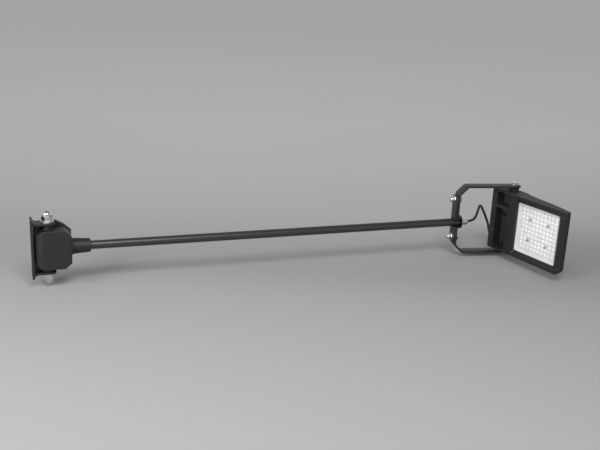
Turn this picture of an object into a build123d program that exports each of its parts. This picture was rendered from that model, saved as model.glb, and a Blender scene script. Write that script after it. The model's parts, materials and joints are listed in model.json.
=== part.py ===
"""LED floodlight on a long wall arm.

A steel wall bracket carries a cast knuckle on a vertical pivot rod. A round
tube runs out of the knuckle to a yoke, and the lamp tilts in the yoke on two
pivot bolts. Sizes are millimetres, +Z runs along both hinge axes, +X runs out
along the arm, and the origin is the centre of the wall plate's back face.
"""
import math
import os

from build123d import *

# Wall bracket
PLATE_T = 5.0
PLATE_W = 42.0
PLATE_H = 150.0
PLATE_CORNER_R = 3.0
EAR_T = 5.0
EAR_IN = 60.0
EAR_W = 33.0
EAR_END = 57.0
EAR_TIP_R = 9.0
EAR_FILLET = 9.0
WALL_HOLE_R = 4.5
WALL_HOLE_HEAD_R = 8.0
WALL_HOLES_Y = 24.0
WALL_HOLES_Z = 84.0

# Arm pivot
PIVOT_X = 40.0
ROD_R = 8.0
ROD_FIT = 0.05
ROD_HOLE_R = 8.2
ROD_RELIEF = 1.0
ROD_HALF = 84.0
ROD_CHAMFER = 1.2
PIVOT_WASHER_R = 15.2
PIVOT_WASHER_HOLE_R = 8.4
PIVOT_WASHER_T = 3.0
M16_AF = 24.0
M16_NUT_H = 25.0
M16_DOME_R = 11.2

# Knuckle: X and Z of its front outline, Y of its depth
SWING_R = 34.2
BOX_LEFT = 5.8
BOX_RIGHT = 94.0
BOX_HALF_H = 49.0
CUT_LEFT_X = 20.0
CUT_LEFT_Z = 16.0
CUT_X = 16.0
CUT_Z = 14.0
BOX_FRONT = -31.0
BOX_SPLIT = 17.0
BOX_RIM_R = 2.0
HUB_WALL_START = 8.0
HUB_WALL_TOP = 58.4
GASKET_T = 1.0
GASKET_INSET = 0.6
COVER_BACK = 31.0
COVER_WALL = 5.0
COVER_RIM_R = 1.5
BOSS_R = 11.5
BOSS_TOP = 58.4
BOSS_FOOT_R = 2.0
BUSH_R = 9.5
BUSH_L = 20.0
BUSH_FLANGE_T = 1.5
SHOULDER_START = 58.0
SHOULDER_TOP = 63.5
SHOULDER_FOOT = (80.0, 51.5)
SHOULDER_END_X = 97.0
SHOULDER_END_Z = 36.0
CAVITY = [(59, 43), (74, 43), (88, 31), (88, -31), (74, -43), (59, -43)]
CAVITY_RIGHT = 88.0
CAVITY_FRONT = -26.0
COVER_SCREWS = [(34.0, 32.0), (34.0, -32.0), (82.5, 40.0), (82.5, -40.0)]
M4_R = 2.0
M4_HOLE_R = 2.2
M4_HEAD_BORE_R = 4.0
M4_HEAD_DEPTH = 4.5
M4_BITE = 4.5

# Wiring space
PLUG_X = 73.0
PLUG_R = 10.0
PLUG_HEAD_R = 13.0
PLUG_HEAD_T = 3.5
PLUG_DEPTH = 6.0
PLUG_SLOT_L = 22.0
PLUG_SLOT_W = 3.0
PLUG_SLOT_D = 2.0
WIRING_X = 71.0
EARTH_Z = -22.0
EARTH_R = 2.5
EARTH_AF = 8.0
EARTH_BITE = 3.0
EARTH_HEAD_H = 3.5
BLOCK_Z = 18.0
BLOCK_L = 30.0
BLOCK_D = 16.0
BLOCK_H = 15.0
BLOCK_CORNER_R = 1.0
BLOCK_WAYS = 3
BLOCK_ROW_GAP = 8.0
BLOCK_SCREW_R = 2.0
BLOCK_SCREW_DEPTH = 6.0
BLOCK_WIRE_R = 2.2
BLOCK_WIRE_LEVEL = 5.0

# Tube, its socket and the cable inside
TUBE_R = 11.0
TUBE_BORE_R = 9.5
TUBE_START = 91.0
SOCKET_START = 94.0
SOCKET_END = 141.0
SOCKET_R1 = 19.5
SOCKET_R2 = 17.0
SOCKET_LIP = 1.5
SPIGOT_R = 15.0
SOCKET_FLANGE_R = 23.5
SOCKET_FLANGE_RIM_R = 22.9
SOCKET_FLANGE_T = 2.0
SOCKET_NECK_L = 5.0
SOCKET_NECK_R = 20.0
SOCKET_RELIEF = 0.2
GRUB_X = 120.0
GRUB_R = 3.9
GRUB_HOLE_R = 4.0
GRUB_L = 6.0
GRUB_KEY_R = 2.0
GRUB_WAYS = [(0, 1, 0), (0, 0, -1)]
CABLE_R = 3.5
CABLE_START = 84.0
CABLE_GAP = 0.2

# Yoke and the plate at the tube's end
WEB_X = 1159.0
YOKE_TURN = 10.0
YOKE_Z = 10.0
STRAP_W = 36.0
STRAP_T = 5.0
END_PLATE_T = 6.0
END_PLATE_CORNER_R = 6.0
END_PLATE_MARGIN = 15.0
YOKE_HALF_H = 100.0
YOKE_CORNER = 25.0
YOKE_BEND_R = 6.0
YOKE_CABLE_HOLE_R = 9.0
PIVOT_REACH = 175.0
YOKE_BOLT_DZ = 55.0
YOKE_BOLT_MID = 2.5
YOKE_BOLT_HOLE_R = 5.3
YOKE_WASHER_R = 10.0
YOKE_WASHER_HOLE_R = 5.25
YOKE_WASHER_T = 2.0
YOKE_BUSH_R = 11.0
YOKE_BUSH_WALL = 1.5
YOKE_BUSH_FLANGE = 1.0
YOKE_BUSH_FIT = 0.05
YOKE_BUSH_REACH = 0.5
M10_R = 5.0
M10_AF = 17.0
M10_HEAD_H = 6.4
M10_NUT_H = 12.0
M10_NUT_DOME_R = 6.5
M10_NUT_BITE = 7.0
COLLAR_R = 19.5
COLLAR_END = 1182.0
COLLAR_CHAMFER = 1.2
COLLAR_BORE_R = 8.0

# Cable glands
GLAND_END = 1206.5
GLAND_AF = 18.0
GLAND_HEX = 6.0
GLAND_NUT_L = 17.0
GLAND_BODY_R = 6.6
GLAND_THREAD_R = 7.9
GLAND_THREAD_L = 6.0
GLAND_BORE_R = 5.4
GLAND_NUT_R = 10.2
GLAND_SEAL_GAP = 2.0
GLAND_SEAL_END = 8.0
GLAND_CROWN_L = 7.0
GLAND_SHOULDER = (8.4, 2.2)
GLAND_LIP_R = 5.2
GLAND_LIP_L = 3.0
GLAND_CONE_L = 6.0

# Lamp, in its own plane: x along its length, y up, z out of the front
LAMP_TURN = -79.3
LAMP_FAR = -34.0
LAMP_NEAR = 247.0
LAMP_HALF_H = 88.0
LAMP_FRONT = 48.0
FRAME_BACK = 34.0
FRAME_CUT_LOW = 15.0
FRAME_CUT_HIGH = 4.0
FRAME_FAR_R = 5.0
FRAME_LOW_R = 6.0
FRAME_HIGH_R = 1.5
FRAME_RIM_R = 2.0
WINDOW_MID = 141.0
WINDOW_L = 155.0
WINDOW_H = 141.0
WINDOW_R = 6.0
FLARE_START = 41.0
FLARE_OUT = 11.0
GLASS_HOLD = 9.0
GASKET_H = 3.0
POCKETS = [(-13, 47, 36, 84), (-13, -80, 32, 37)]
POCKET_R = 3.0
SCREW_SPOTS = [(54, 53), (54, -53), (237, 71), (237, -71), (-24, 35), (-24, -35)]
FRAME_SCREW_R = 2.5
FRAME_SCREW_HOLE_R = 2.7
FRAME_SCREW_BORE_R = 4.8
FRAME_SCREW_DEPTH = 3.0
SIDE_GAP = 2.0
BACK_FAR = -12.0
BACK_STEP = 6.0
BACK_SLOPE = [(22, -12), (54, -8), (58, -5), (106, 3.5), (154, 7.5), (189, 13)]
BACK_NEAR_L = 8.0
BACK_NEAR_D = 10.0
BACK_NEAR_LIP = 3.0
FIN_FLOOR = 17.0
FIN_T = 3.0
FIN_PITCH = 12.2
FIN_COUNT = 14
FINS_START = 62.0
LAMP_BOSS_R = 14.0
LAMP_BOSS_FOOT = 70.0
LAMP_BOSS_TOP = 94.0
LAMP_BOSS_BORE_L = 40.0
LAMP_BOLT_L = 30.0

# Driver compartment
DRIVER_FLOOR = -5.0
DRIVER_START = -26.0
DRIVER_END = 50.0
DRIVER_HALF_H = 66.0
DRIVER_CORNER_R = 5.0
COVER_SEAT = 3.0
COVER_HALF_H = 84.5
COVER_FIT = 0.2
COVER_CORNER_R = 3.0
POST_R = 5.0
POST_INSET = 5.0
POST_Y = 61.0
POST_THREAD_L = 12.0
POST_SCREW_HEAD_R = 3.6
POST_SCREW_BORE_R = 4.0
POST_SCREW_SINK = 2.0
POST_SCREW_L = 11.0
POST_SLOT_L = 5.0
POST_SLOT_W = 0.9
DRIVER_H = 28.0
DRIVER_MARGIN = 4.0
DRIVER_END_GAP = 12.0
DRIVER_EDGE_R = 2.0
LAMP_GLAND_Y = -67.0
LAMP_GLAND_N = 6.0
LAMP_GLAND_L = 26.0
LAMP_GLAND_HOLE_L = 7.0
VENT_SPOT = (6, 34)
VENT_HOLE_R = 6.0
VENT_FIT = 0.1
VENT_HEAD_R = 8.0
VENT_HEAD_T = 3.5

# Light source behind the window
TRAY_L = 151.0
TRAY_HALF_H = 68.0
TRAY_R = 6.0
TRAY_FLOOR = 23.0
BOARD_T = 1.6
BOARD_GAP = 1.0
LENS_PLATE_GAP = 0.5
LENS_PLATE_FRONT = 31.0
LENS_PLATE_T = 2.0
LENS_PLATE_WALL = 3.5
LENS_ROWS = 10
LENS_PITCH_X = 13.3
LENS_PITCH_Y = 11.9
LENS_L = 9.2
LENS_H = 8.6
LENS_RISE = 2.2
LENS_TAPER = 25.0
BOARD_SCREW_X = 33.25
BOARD_SCREW_Y = 29.75
BOARD_SCREW_R = 2.2
BOARD_SCREW_FIT = 0.1
BOARD_PILLAR_R = 5.0

# Free lead: the points of its route between the two glands
LEAD_POINTS = [
    (1220.5, 0, 0),
    (1235.5, 4.5, 7.5),
    (1248, 16, 20),
    (1260, 30, 31.5),
    (1275, 43, 32.5),
    (1289, 54, 20),
    (1300, 61, 2),
    (1308.5, 66, -15.5),
    (1310.5, 67.4, -29.1),
    (1311, 62.8, -42.1),
    (1311.8, 51.8, -53),
    (1313.5, 38.4, -56.8),
]
LEAD_LAST_L = 4.8
LEAD_LAST_RISE = 0.2
ARC_SHARE = 0.45

# Planes of the turned yoke and of the lamp
turn = math.radians(YOKE_TURN)
along = Vector(math.cos(turn), -math.sin(turn), 0)
across = Vector(math.sin(turn), math.cos(turn), 0)
yoke_origin = Vector(WEB_X, 0, YOKE_Z)
YOKE_PLAN = Plane(origin=yoke_origin, x_dir=along, z_dir=(0, 0, 1))
YOKE_SIDE = Plane(origin=yoke_origin, x_dir=along, z_dir=across * -1)
YOKE_FACE = Plane(origin=yoke_origin, x_dir=across, z_dir=along)

lamp_turn = math.radians(LAMP_TURN)
lamp_u = Vector(math.cos(lamp_turn), math.sin(lamp_turn), 0)
lamp_n = Vector(math.sin(lamp_turn), -math.cos(lamp_turn), 0)
lamp_pivot = yoke_origin + along * PIVOT_REACH
LAMP = Plane(origin=lamp_pivot, x_dir=lamp_u, z_dir=lamp_n)
TUBE_AXIS = Plane.YZ

os.makedirs("parts", exist_ok=True)


def save(piece: BuildPart, name: str) -> None:
    """Label a finished piece and write it under its own name."""
    piece.part.label = name
    export_step(piece.part, f"parts/{name}.step")


def domed_nut(flats: float, height: float, dome_r: float, bore_r: float) -> Part:
    """Make a domed nut that stands on the origin, with a blind bore."""
    hex_h = height - dome_r
    corner_r = flats / math.sqrt(3)
    with BuildPart() as nut:
        with BuildSketch(Plane.XZ):
            with BuildLine():
                Polyline(
                    (0, height),
                    (0, 0),
                    (corner_r - 0.9, 0),
                    (corner_r + 0.1, 0.6),
                    (corner_r + 0.1, hex_h - 1.4),
                    (dome_r, hex_h),
                )
                CenterArc((0, hex_h), dome_r, 0, 90)
            make_face()
        revolve(axis=Axis.Z)
        with BuildSketch():
            RegularPolygon(flats / 2, 6, major_radius=False)
        extrude(amount=hex_h, mode=Mode.INTERSECT)
        with BuildSketch(Plane.XZ):
            with BuildLine():
                Line((0, hex_h), (dome_r, hex_h))
                CenterArc((0, hex_h), dome_r, 0, 90)
                Line((0, height), (0, hex_h))
            make_face()
        revolve(axis=Axis.Z)
        with BuildSketch():
            Circle(bore_r)
        extrude(amount=hex_h + 3, mode=Mode.SUBTRACT)
    return nut.part


def hex_screw(shank_r: float, length: float, flats: float, head_h: float) -> Part:
    """Make a hexagon-headed screw: head above the origin, shank below it."""
    with BuildPart() as screw:
        with BuildSketch():
            RegularPolygon(flats / 2, 6, major_radius=False)
        extrude(amount=head_h)
        crown = flats / math.sqrt(3)
        with BuildSketch(Plane.XZ):
            with BuildLine():
                Polyline(
                    (0, 0),
                    (crown, 0),
                    (crown, head_h * 0.75),
                    (flats / 2 - 0.6, head_h),
                    (0, head_h),
                    (0, 0),
                )
            make_face()
        revolve(axis=Axis.Z, mode=Mode.INTERSECT)
        with BuildSketch():
            Circle(shank_r)
        extrude(amount=-length)
        chamfer(screw.edges().group_by(Axis.Z)[0], length=shank_r * 0.15)
    return screw.part


def cap_screw(shank_r: float, length: float) -> Part:
    """Make a socket cap screw: head above the origin, shank below it."""
    head_r = shank_r * 1.75
    with BuildPart() as screw:
        with BuildSketch():
            Circle(head_r)
        extrude(amount=shank_r * 1.5)
        chamfer(screw.edges().group_by(Axis.Z)[-1], length=shank_r * 0.2)
        with BuildSketch(Plane.XY.offset(shank_r * 1.5)):
            RegularPolygon(shank_r * 0.8, 6, major_radius=False)
        extrude(amount=-shank_r, mode=Mode.SUBTRACT)
        with BuildSketch():
            Circle(shank_r)
        extrude(amount=-length)
    return screw.part


# Wall bracket: plate and two ears in one bent and welded piece
with BuildPart() as wall_bracket:
    with BuildSketch(Plane.YZ):
        RectangleRounded(PLATE_W, PLATE_H, PLATE_CORNER_R)
    extrude(amount=PLATE_T)
    for side in (1, -1):
        ear_out = EAR_IN + EAR_T
        with BuildSketch(Plane.XY.offset(side * EAR_IN)):
            with Locations((EAR_END / 2, 0)):
                Rectangle(EAR_END, EAR_W)
        extrude(amount=side * EAR_T)
        with BuildSketch(Plane.XZ.offset(-EAR_W / 2)):
            with BuildLine():
                start = (PLATE_T, side * (ear_out + EAR_FILLET))
                end = (PLATE_T + EAR_FILLET, side * ear_out)
                RadiusArc(start, end, side * -EAR_FILLET)
                Polyline(end, (PLATE_T, side * ear_out), start)
            make_face()
        extrude(amount=EAR_W)
    ear_ends = wall_bracket.edges().filter_by(Axis.Z).group_by(Axis.X)[-1]
    fillet(ear_ends, radius=EAR_TIP_R)
    with Locations(Plane.XY.offset(0)):
        with Locations((PIVOT_X, 0)):
            Hole(ROD_HOLE_R)
    with Locations(Plane(origin=(PLATE_T, 0, 0), x_dir=(0, 1, 0), z_dir=(1, 0, 0))):
        with GridLocations(WALL_HOLES_Y, WALL_HOLES_Z, 2, 2):
            CounterSinkHole(WALL_HOLE_R, WALL_HOLE_HEAD_R, depth=PLATE_T, counter_sink_angle=90)
save(wall_bracket, "wall_bracket")

PIVOT = Plane(origin=(PIVOT_X, 0, 0))

with BuildPart() as pivot_rod:
    with BuildSketch(PIVOT.offset(-ROD_HALF)):
        Circle(ROD_R)
    extrude(amount=2 * ROD_HALF)
    chamfer(pivot_rod.edges().filter_by(GeomType.CIRCLE), length=ROD_CHAMFER)
save(pivot_rod, "pivot_rod")

ear_face = EAR_IN + EAR_T
with BuildPart() as pivot_washers:
    for side in (1, -1):
        with BuildSketch(PIVOT.offset(side * ear_face)):
            Circle(PIVOT_WASHER_R)
            Circle(PIVOT_WASHER_HOLE_R, mode=Mode.SUBTRACT)
        extrude(amount=side * PIVOT_WASHER_T)
save(pivot_washers, "pivot_washers")

nut_base = ear_face + PIVOT_WASHER_T
m16_nut = domed_nut(M16_AF, M16_NUT_H, M16_DOME_R, ROD_R)
with BuildPart() as pivot_acorn_nuts:
    with Locations(PIVOT.offset(nut_base)):
        add(m16_nut)
    with Locations(Plane(origin=(PIVOT_X, 0, -nut_base), z_dir=(0, 0, -1))):
        add(m16_nut)
save(pivot_acorn_nuts, "pivot_acorn_nuts")

# Knuckle: cast box that swings between the ears
def octagon_points(inset: float) -> list[tuple[float, float]]:
    """Give the knuckle's front outline as (X, Z), drawn in by inset."""
    left = BOX_LEFT
    right = BOX_RIGHT - inset
    high = BOX_HALF_H - inset
    upper = [
        (left, high - CUT_LEFT_Z),
        (left + CUT_LEFT_X, high),
        (right - CUT_X, high),
        (right, high - CUT_Z),
    ]
    lower = [(x, -z) for x, z in reversed(upper)]
    return upper + lower


def hub_wall_points(side: int, inset: float) -> list[tuple[float, float]]:
    """Give the outline of the wall behind one pivot boss as (X, Z)."""
    left = BOX_LEFT
    right = SHOULDER_START - inset
    high = HUB_WALL_TOP - inset
    return [(left, 0), (left, side * high), (right, side * high), (right, 0)]


def plan_outline(right: float) -> Sketch:
    """Outline seen along the hinge: wall side round, so that it swings clear."""
    round_start = PIVOT_X - math.sqrt(SWING_R**2 - COVER_BACK**2)
    with BuildSketch() as plan:
        with BuildLine():
            Polyline(
                (round_start, BOX_FRONT),
                (right, BOX_FRONT),
                (right, COVER_BACK),
                (round_start, COVER_BACK),
            )
            ThreePointArc(
                (round_start, COVER_BACK),
                (PIVOT_X - SWING_R, 0),
                (round_start, BOX_FRONT),
            )
        make_face()
    return plan.sketch


box_plan = plan_outline(SHOULDER_END_X)

with BuildPart() as knuckle_housing:
    with BuildSketch(Plane.XZ.offset(-BOX_SPLIT)):
        Polygon(*octagon_points(0), align=None)
    extrude(amount=BOX_SPLIT - BOX_FRONT)
    front_rim = knuckle_housing.faces().sort_by(Axis.Y)[0].edges()
    fillet(front_rim, radius=BOX_RIM_R)
    for side in (1, -1):
        with BuildSketch(PIVOT.offset(side * BOX_HALF_H)):
            Circle(BOSS_R)
        extrude(amount=side * (BOSS_TOP - BOX_HALF_H))
        foot = knuckle_housing.edges().filter_by(GeomType.CIRCLE)
        foot = foot.filter_by(lambda e, z=side * BOX_HALF_H: abs(e.center().Z - z) < 0.1)
        fillet(foot, radius=BOSS_FOOT_R)
    with BuildSketch(Plane.XZ.offset(-BOX_SPLIT)):
        for side in (1, -1):
            Polygon(*hub_wall_points(side, 0), align=None)
    extrude(amount=BOX_SPLIT - HUB_WALL_START)
    with BuildSketch(Plane.XY.offset(-BOSS_TOP)):
        add(box_plan)
    extrude(amount=2 * BOSS_TOP, mode=Mode.INTERSECT)
    with BuildSketch(PIVOT.offset(-BOSS_TOP)):
        Circle(ROD_R + ROD_RELIEF)
    extrude(amount=2 * BOSS_TOP, mode=Mode.SUBTRACT)
    for side in (1, -1):
        with BuildSketch(PIVOT.offset(side * BOSS_TOP)):
            Circle(BUSH_R)
        extrude(amount=-side * BUSH_L, mode=Mode.SUBTRACT)
    with BuildSketch(Plane.XZ.offset(-BOX_SPLIT)):
        Polygon(*CAVITY, align=None)
    extrude(amount=BOX_SPLIT - CAVITY_FRONT, mode=Mode.SUBTRACT)
    with BuildSketch(TUBE_AXIS.offset(SOCKET_START)):
        Circle(SPIGOT_R)
    extrude(amount=-(SOCKET_START - CAVITY_RIGHT), mode=Mode.SUBTRACT)
    with BuildSketch(Plane(origin=(WIRING_X, CAVITY_FRONT, EARTH_Z), z_dir=(0, -1, 0))):
        Circle(EARTH_R)
    extrude(amount=EARTH_BITE, mode=Mode.SUBTRACT)
    with BuildSketch(Plane.XZ.offset(-BOX_SPLIT)):
        with Locations(*COVER_SCREWS):
            Circle(M4_R)
    extrude(amount=M4_BITE + 1, mode=Mode.SUBTRACT)
    with BuildSketch(Plane.XY.offset(-BOX_HALF_H)):
        with Locations((PLUG_X, 0)):
            Circle(PLUG_R)
    extrude(amount=10, mode=Mode.SUBTRACT)
save(knuckle_housing, "knuckle_housing")

with BuildPart() as cover_gasket:
    with BuildSketch(Plane.XZ.offset(-BOX_SPLIT - GASKET_T)):
        Polygon(*octagon_points(GASKET_INSET), align=None)
        for side in (1, -1):
            Polygon(*hub_wall_points(side, GASKET_INSET), align=None)
        Polygon(*CAVITY, align=None, mode=Mode.SUBTRACT)
        with Locations(*COVER_SCREWS):
            Circle(M4_HOLE_R, mode=Mode.SUBTRACT)
    extrude(amount=GASKET_T)
    with BuildSketch(Plane.XY.offset(-BOSS_TOP)):
        add(box_plan)
    extrude(amount=2 * BOSS_TOP, mode=Mode.INTERSECT)
save(cover_gasket, "cover_gasket")

cover_front = BOX_SPLIT + GASKET_T
cover_outline = [
    (BOX_LEFT, HUB_WALL_TOP),
    (SHOULDER_START, HUB_WALL_TOP),
    (SHOULDER_START, SHOULDER_TOP),
    SHOULDER_FOOT,
    (SHOULDER_END_X, SHOULDER_END_Z),
]
cover_outline += [(x, -z) for x, z in reversed(cover_outline)]

with BuildPart() as knuckle_cover:
    with BuildSketch(Plane.XZ.offset(-COVER_BACK)):
        Polygon(*cover_outline, align=None)
    extrude(amount=COVER_BACK - cover_front)
    with BuildSketch(Plane.XY.offset(-SHOULDER_TOP)):
        add(box_plan)
    extrude(amount=2 * SHOULDER_TOP, mode=Mode.INTERSECT)
    back_rim = knuckle_cover.faces().sort_by(Axis.Y)[-1].edges()
    fillet(back_rim, radius=COVER_RIM_R)
    with BuildSketch(Plane.XZ.offset(-cover_front)):
        Polygon(*CAVITY, align=None)
    extrude(amount=-(COVER_BACK - cover_front - COVER_WALL), mode=Mode.SUBTRACT)
    with Locations(Plane(origin=(0, COVER_BACK, 0), x_dir=(1, 0, 0), z_dir=(0, 1, 0))):
        with Locations(*[(x, -z) for x, z in COVER_SCREWS]):
            CounterBoreHole(M4_HOLE_R, M4_HEAD_BORE_R, M4_HEAD_DEPTH)
    with BuildSketch(TUBE_AXIS.offset(BOX_RIGHT)):
        Circle(SOCKET_FLANGE_R + SOCKET_RELIEF)
    extrude(amount=2 * SOCKET_NECK_L, mode=Mode.SUBTRACT)
save(knuckle_cover, "knuckle_cover")

m4_seat = COVER_BACK - M4_HEAD_DEPTH
m4_screw = cap_screw(M4_R, m4_seat - BOX_SPLIT + M4_BITE)
with BuildPart() as cover_screws:
    for x, z in COVER_SCREWS:
        with Locations(Plane(origin=(x, m4_seat, z), z_dir=(0, 1, 0))):
            add(m4_screw)
save(cover_screws, "cover_screws")

with BuildPart() as pivot_bushes:
    for side in (1, -1):
        with BuildSketch(PIVOT.offset(side * BOSS_TOP)):
            Circle(BOSS_R)
        extrude(amount=side * BUSH_FLANGE_T)
        with BuildSketch(PIVOT.offset(side * BOSS_TOP)):
            Circle(BUSH_R)
        extrude(amount=-side * BUSH_L)
    with BuildSketch(PIVOT.offset(-EAR_IN)):
        Circle(ROD_R + ROD_FIT)
    extrude(amount=2 * EAR_IN, mode=Mode.SUBTRACT)
save(pivot_bushes, "pivot_bushes")

with BuildPart() as entry_plug:
    with BuildSketch(Plane(origin=(PLUG_X, 0, -BOX_HALF_H), z_dir=(0, 0, -1))):
        Circle(PLUG_HEAD_R)
    extrude(amount=PLUG_HEAD_T)
    chamfer(entry_plug.edges().group_by(Axis.Z)[0], length=0.8)
    with BuildSketch(Plane(origin=(PLUG_X, 0, -BOX_HALF_H), z_dir=(0, 0, 1))):
        Circle(PLUG_R)
    extrude(amount=PLUG_DEPTH)
    with BuildSketch(Plane(origin=(PLUG_X, 0, -BOX_HALF_H - PLUG_HEAD_T), z_dir=(0, 0, 1))):
        Rectangle(PLUG_SLOT_L, PLUG_SLOT_W)
    extrude(amount=PLUG_SLOT_D, mode=Mode.SUBTRACT)
save(entry_plug, "entry_plug")

block_base = Plane(origin=(WIRING_X, CAVITY_FRONT, BLOCK_Z), x_dir=(1, 0, 0), z_dir=(0, 1, 0))
block_side = Plane(
    origin=(WIRING_X + BLOCK_D / 2, CAVITY_FRONT + BLOCK_WIRE_LEVEL, BLOCK_Z),
    x_dir=(0, 1, 0),
    z_dir=(1, 0, 0),
)
way_pitch = BLOCK_L / BLOCK_WAYS
with BuildPart() as terminal_block:
    with BuildSketch(block_base):
        RectangleRounded(BLOCK_D, BLOCK_L, BLOCK_CORNER_R)
    extrude(amount=BLOCK_H)
    with BuildSketch(block_base.offset(BLOCK_H)):
        with GridLocations(BLOCK_ROW_GAP, way_pitch, 2, BLOCK_WAYS):
            Circle(BLOCK_SCREW_R)
    extrude(amount=-BLOCK_SCREW_DEPTH, mode=Mode.SUBTRACT)
    with BuildSketch(block_side):
        with GridLocations(BLOCK_ROW_GAP, way_pitch, 1, BLOCK_WAYS):
            Circle(BLOCK_WIRE_R)
    extrude(amount=-BLOCK_D, mode=Mode.SUBTRACT)
save(terminal_block, "terminal_block")

with BuildPart() as earth_screw:
    with Locations(Plane(origin=(WIRING_X, CAVITY_FRONT, EARTH_Z), z_dir=(0, 1, 0))):
        add(hex_screw(EARTH_R, EARTH_BITE, EARTH_AF, EARTH_HEAD_H))
save(earth_screw, "earth_screw")

# Round socket, arm tube and the cable inside it
with BuildPart() as tube_socket:
    with BuildSketch(Plane.XZ):
        with BuildLine():
            Polyline(
                (CAVITY_RIGHT, TUBE_R),
                (CAVITY_RIGHT, SPIGOT_R),
                (SOCKET_START, SPIGOT_R),
                (SOCKET_START, SOCKET_FLANGE_R),
                (SOCKET_START + SOCKET_FLANGE_T, SOCKET_FLANGE_RIM_R),
                (SOCKET_START + SOCKET_NECK_L, SOCKET_NECK_R),
                (SOCKET_END - SOCKET_LIP, SOCKET_R2),
                (SOCKET_END, SOCKET_R2 - SOCKET_LIP),
                (SOCKET_END, TUBE_R),
                (CAVITY_RIGHT, TUBE_R),
            )
        make_face()
    revolve(axis=Axis.X)
    for way in GRUB_WAYS:
        with BuildSketch(Plane(origin=(GRUB_X, 0, 0), z_dir=way)):
            Circle(GRUB_HOLE_R)
        extrude(amount=SOCKET_R1, mode=Mode.SUBTRACT)
save(tube_socket, "tube_socket")

with BuildPart() as grub_screws:
    for way in GRUB_WAYS:
        outward = Vector(*way)
        grub_foot = Vector(GRUB_X, 0, 0) + outward * (TUBE_R + GRUB_HOLE_R - GRUB_R)
        with BuildSketch(Plane(origin=grub_foot, z_dir=way)):
            Circle(GRUB_R)
            RegularPolygon(GRUB_KEY_R, 6, major_radius=False, mode=Mode.SUBTRACT)
        extrude(amount=GRUB_L)
save(grub_screws, "grub_screws")

END_FACE = Plane(origin=yoke_origin + Vector(0, 0, -YOKE_Z), x_dir=across, z_dir=along)
with BuildPart() as arm_tube:
    with BuildSketch(TUBE_AXIS.offset(TUBE_START)):
        Circle(TUBE_R)
        Circle(TUBE_BORE_R, mode=Mode.SUBTRACT)
    extrude(amount=WEB_X + 2 * TUBE_R - TUBE_START)
    split(bisect_by=END_FACE.offset(END_PLATE_T), keep=Keep.BOTTOM)
save(arm_tube, "arm_tube")

with BuildPart() as tube_cable:
    with BuildSketch(TUBE_AXIS.offset(CABLE_START)):
        Circle(CABLE_R)
    extrude(amount=GLAND_END - CABLE_START)
save(tube_cable, "tube_cable")

# End plate and yoke
bolt_zs = (YOKE_BOLT_MID + YOKE_BOLT_DZ, YOKE_BOLT_MID - YOKE_BOLT_DZ)
stack = END_PLATE_T + STRAP_T
with BuildPart() as end_plate:
    with BuildSketch(YOKE_FACE):
        with Locations((0, YOKE_BOLT_MID)):
            RectangleRounded(STRAP_W, 2 * (YOKE_BOLT_DZ + END_PLATE_MARGIN), END_PLATE_CORNER_R)
    extrude(amount=END_PLATE_T)
    with BuildSketch(YOKE_FACE):
        with Locations(*[(0, z) for z in bolt_zs]):
            Circle(YOKE_BOLT_HOLE_R)
    extrude(amount=END_PLATE_T, mode=Mode.SUBTRACT)
    with BuildSketch(TUBE_AXIS.offset(WEB_X - 2 * TUBE_R)):
        Circle(TUBE_R)
    extrude(amount=4 * TUBE_R, mode=Mode.SUBTRACT)
save(end_plate, "end_plate")

mid_x = END_PLATE_T + STRAP_T / 2
mid_z = YOKE_HALF_H - STRAP_T / 2
arm_tip = PIVOT_REACH + STRAP_W / 2
with BuildPart() as yoke:
    with BuildLine(YOKE_SIDE) as yoke_line:
        FilletPolyline(
            (arm_tip, -mid_z),
            (mid_x + YOKE_CORNER, -mid_z),
            (mid_x, -mid_z + YOKE_CORNER),
            (mid_x, mid_z - YOKE_CORNER),
            (mid_x + YOKE_CORNER, mid_z),
            (arm_tip, mid_z),
            radius=YOKE_BEND_R,
        )
    with BuildSketch(Plane(origin=yoke_line.line @ 0, x_dir=across, z_dir=along)):
        Rectangle(STRAP_W, STRAP_T)
    sweep(path=yoke_line.line)
    tip_edges = yoke.edges().filter_by(Axis.Z).group_by(Axis(yoke_origin, along))[-1]
    fillet(tip_edges, radius=STRAP_W / 2 - 0.1)
    with BuildSketch(YOKE_FACE):
        with Locations(*[(0, z) for z in bolt_zs]):
            Circle(YOKE_BOLT_HOLE_R)
    extrude(amount=stack + 1, mode=Mode.SUBTRACT)
    with BuildSketch(YOKE_PLAN.offset(-YOKE_HALF_H - 1)):
        with Locations((PIVOT_REACH, 0)):
            Circle(M10_R + YOKE_BUSH_WALL)
    extrude(amount=2 * YOKE_HALF_H + 2, mode=Mode.SUBTRACT)
    with BuildSketch(TUBE_AXIS.offset(WEB_X - 2 * TUBE_R)):
        Circle(YOKE_CABLE_HOLE_R)
    extrude(amount=6 * TUBE_R, mode=Mode.SUBTRACT)
save(yoke, "yoke")

# Fasteners that hold the yoke to the end plate
bolt_ways = [YOKE_PLAN.offset(z) for z in bolt_zs]
wall_side = [Plane(origin=p.origin, z_dir=along * -1) for p in bolt_ways]
lamp_side = [Plane(origin=p.origin + along * stack, z_dir=along) for p in bolt_ways]

with BuildPart() as yoke_washers:
    for seat in wall_side + lamp_side:
        with BuildSketch(seat):
            Circle(YOKE_WASHER_R)
            Circle(YOKE_WASHER_HOLE_R, mode=Mode.SUBTRACT)
        extrude(amount=YOKE_WASHER_T)
save(yoke_washers, "yoke_washers")

m10_nut = domed_nut(M10_AF, M10_NUT_H, M10_NUT_DOME_R, M10_R)
with BuildPart() as yoke_acorn_nuts:
    for seat in wall_side:
        with Locations(seat.offset(YOKE_WASHER_T)):
            add(m10_nut)
save(yoke_acorn_nuts, "yoke_acorn_nuts")

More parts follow.
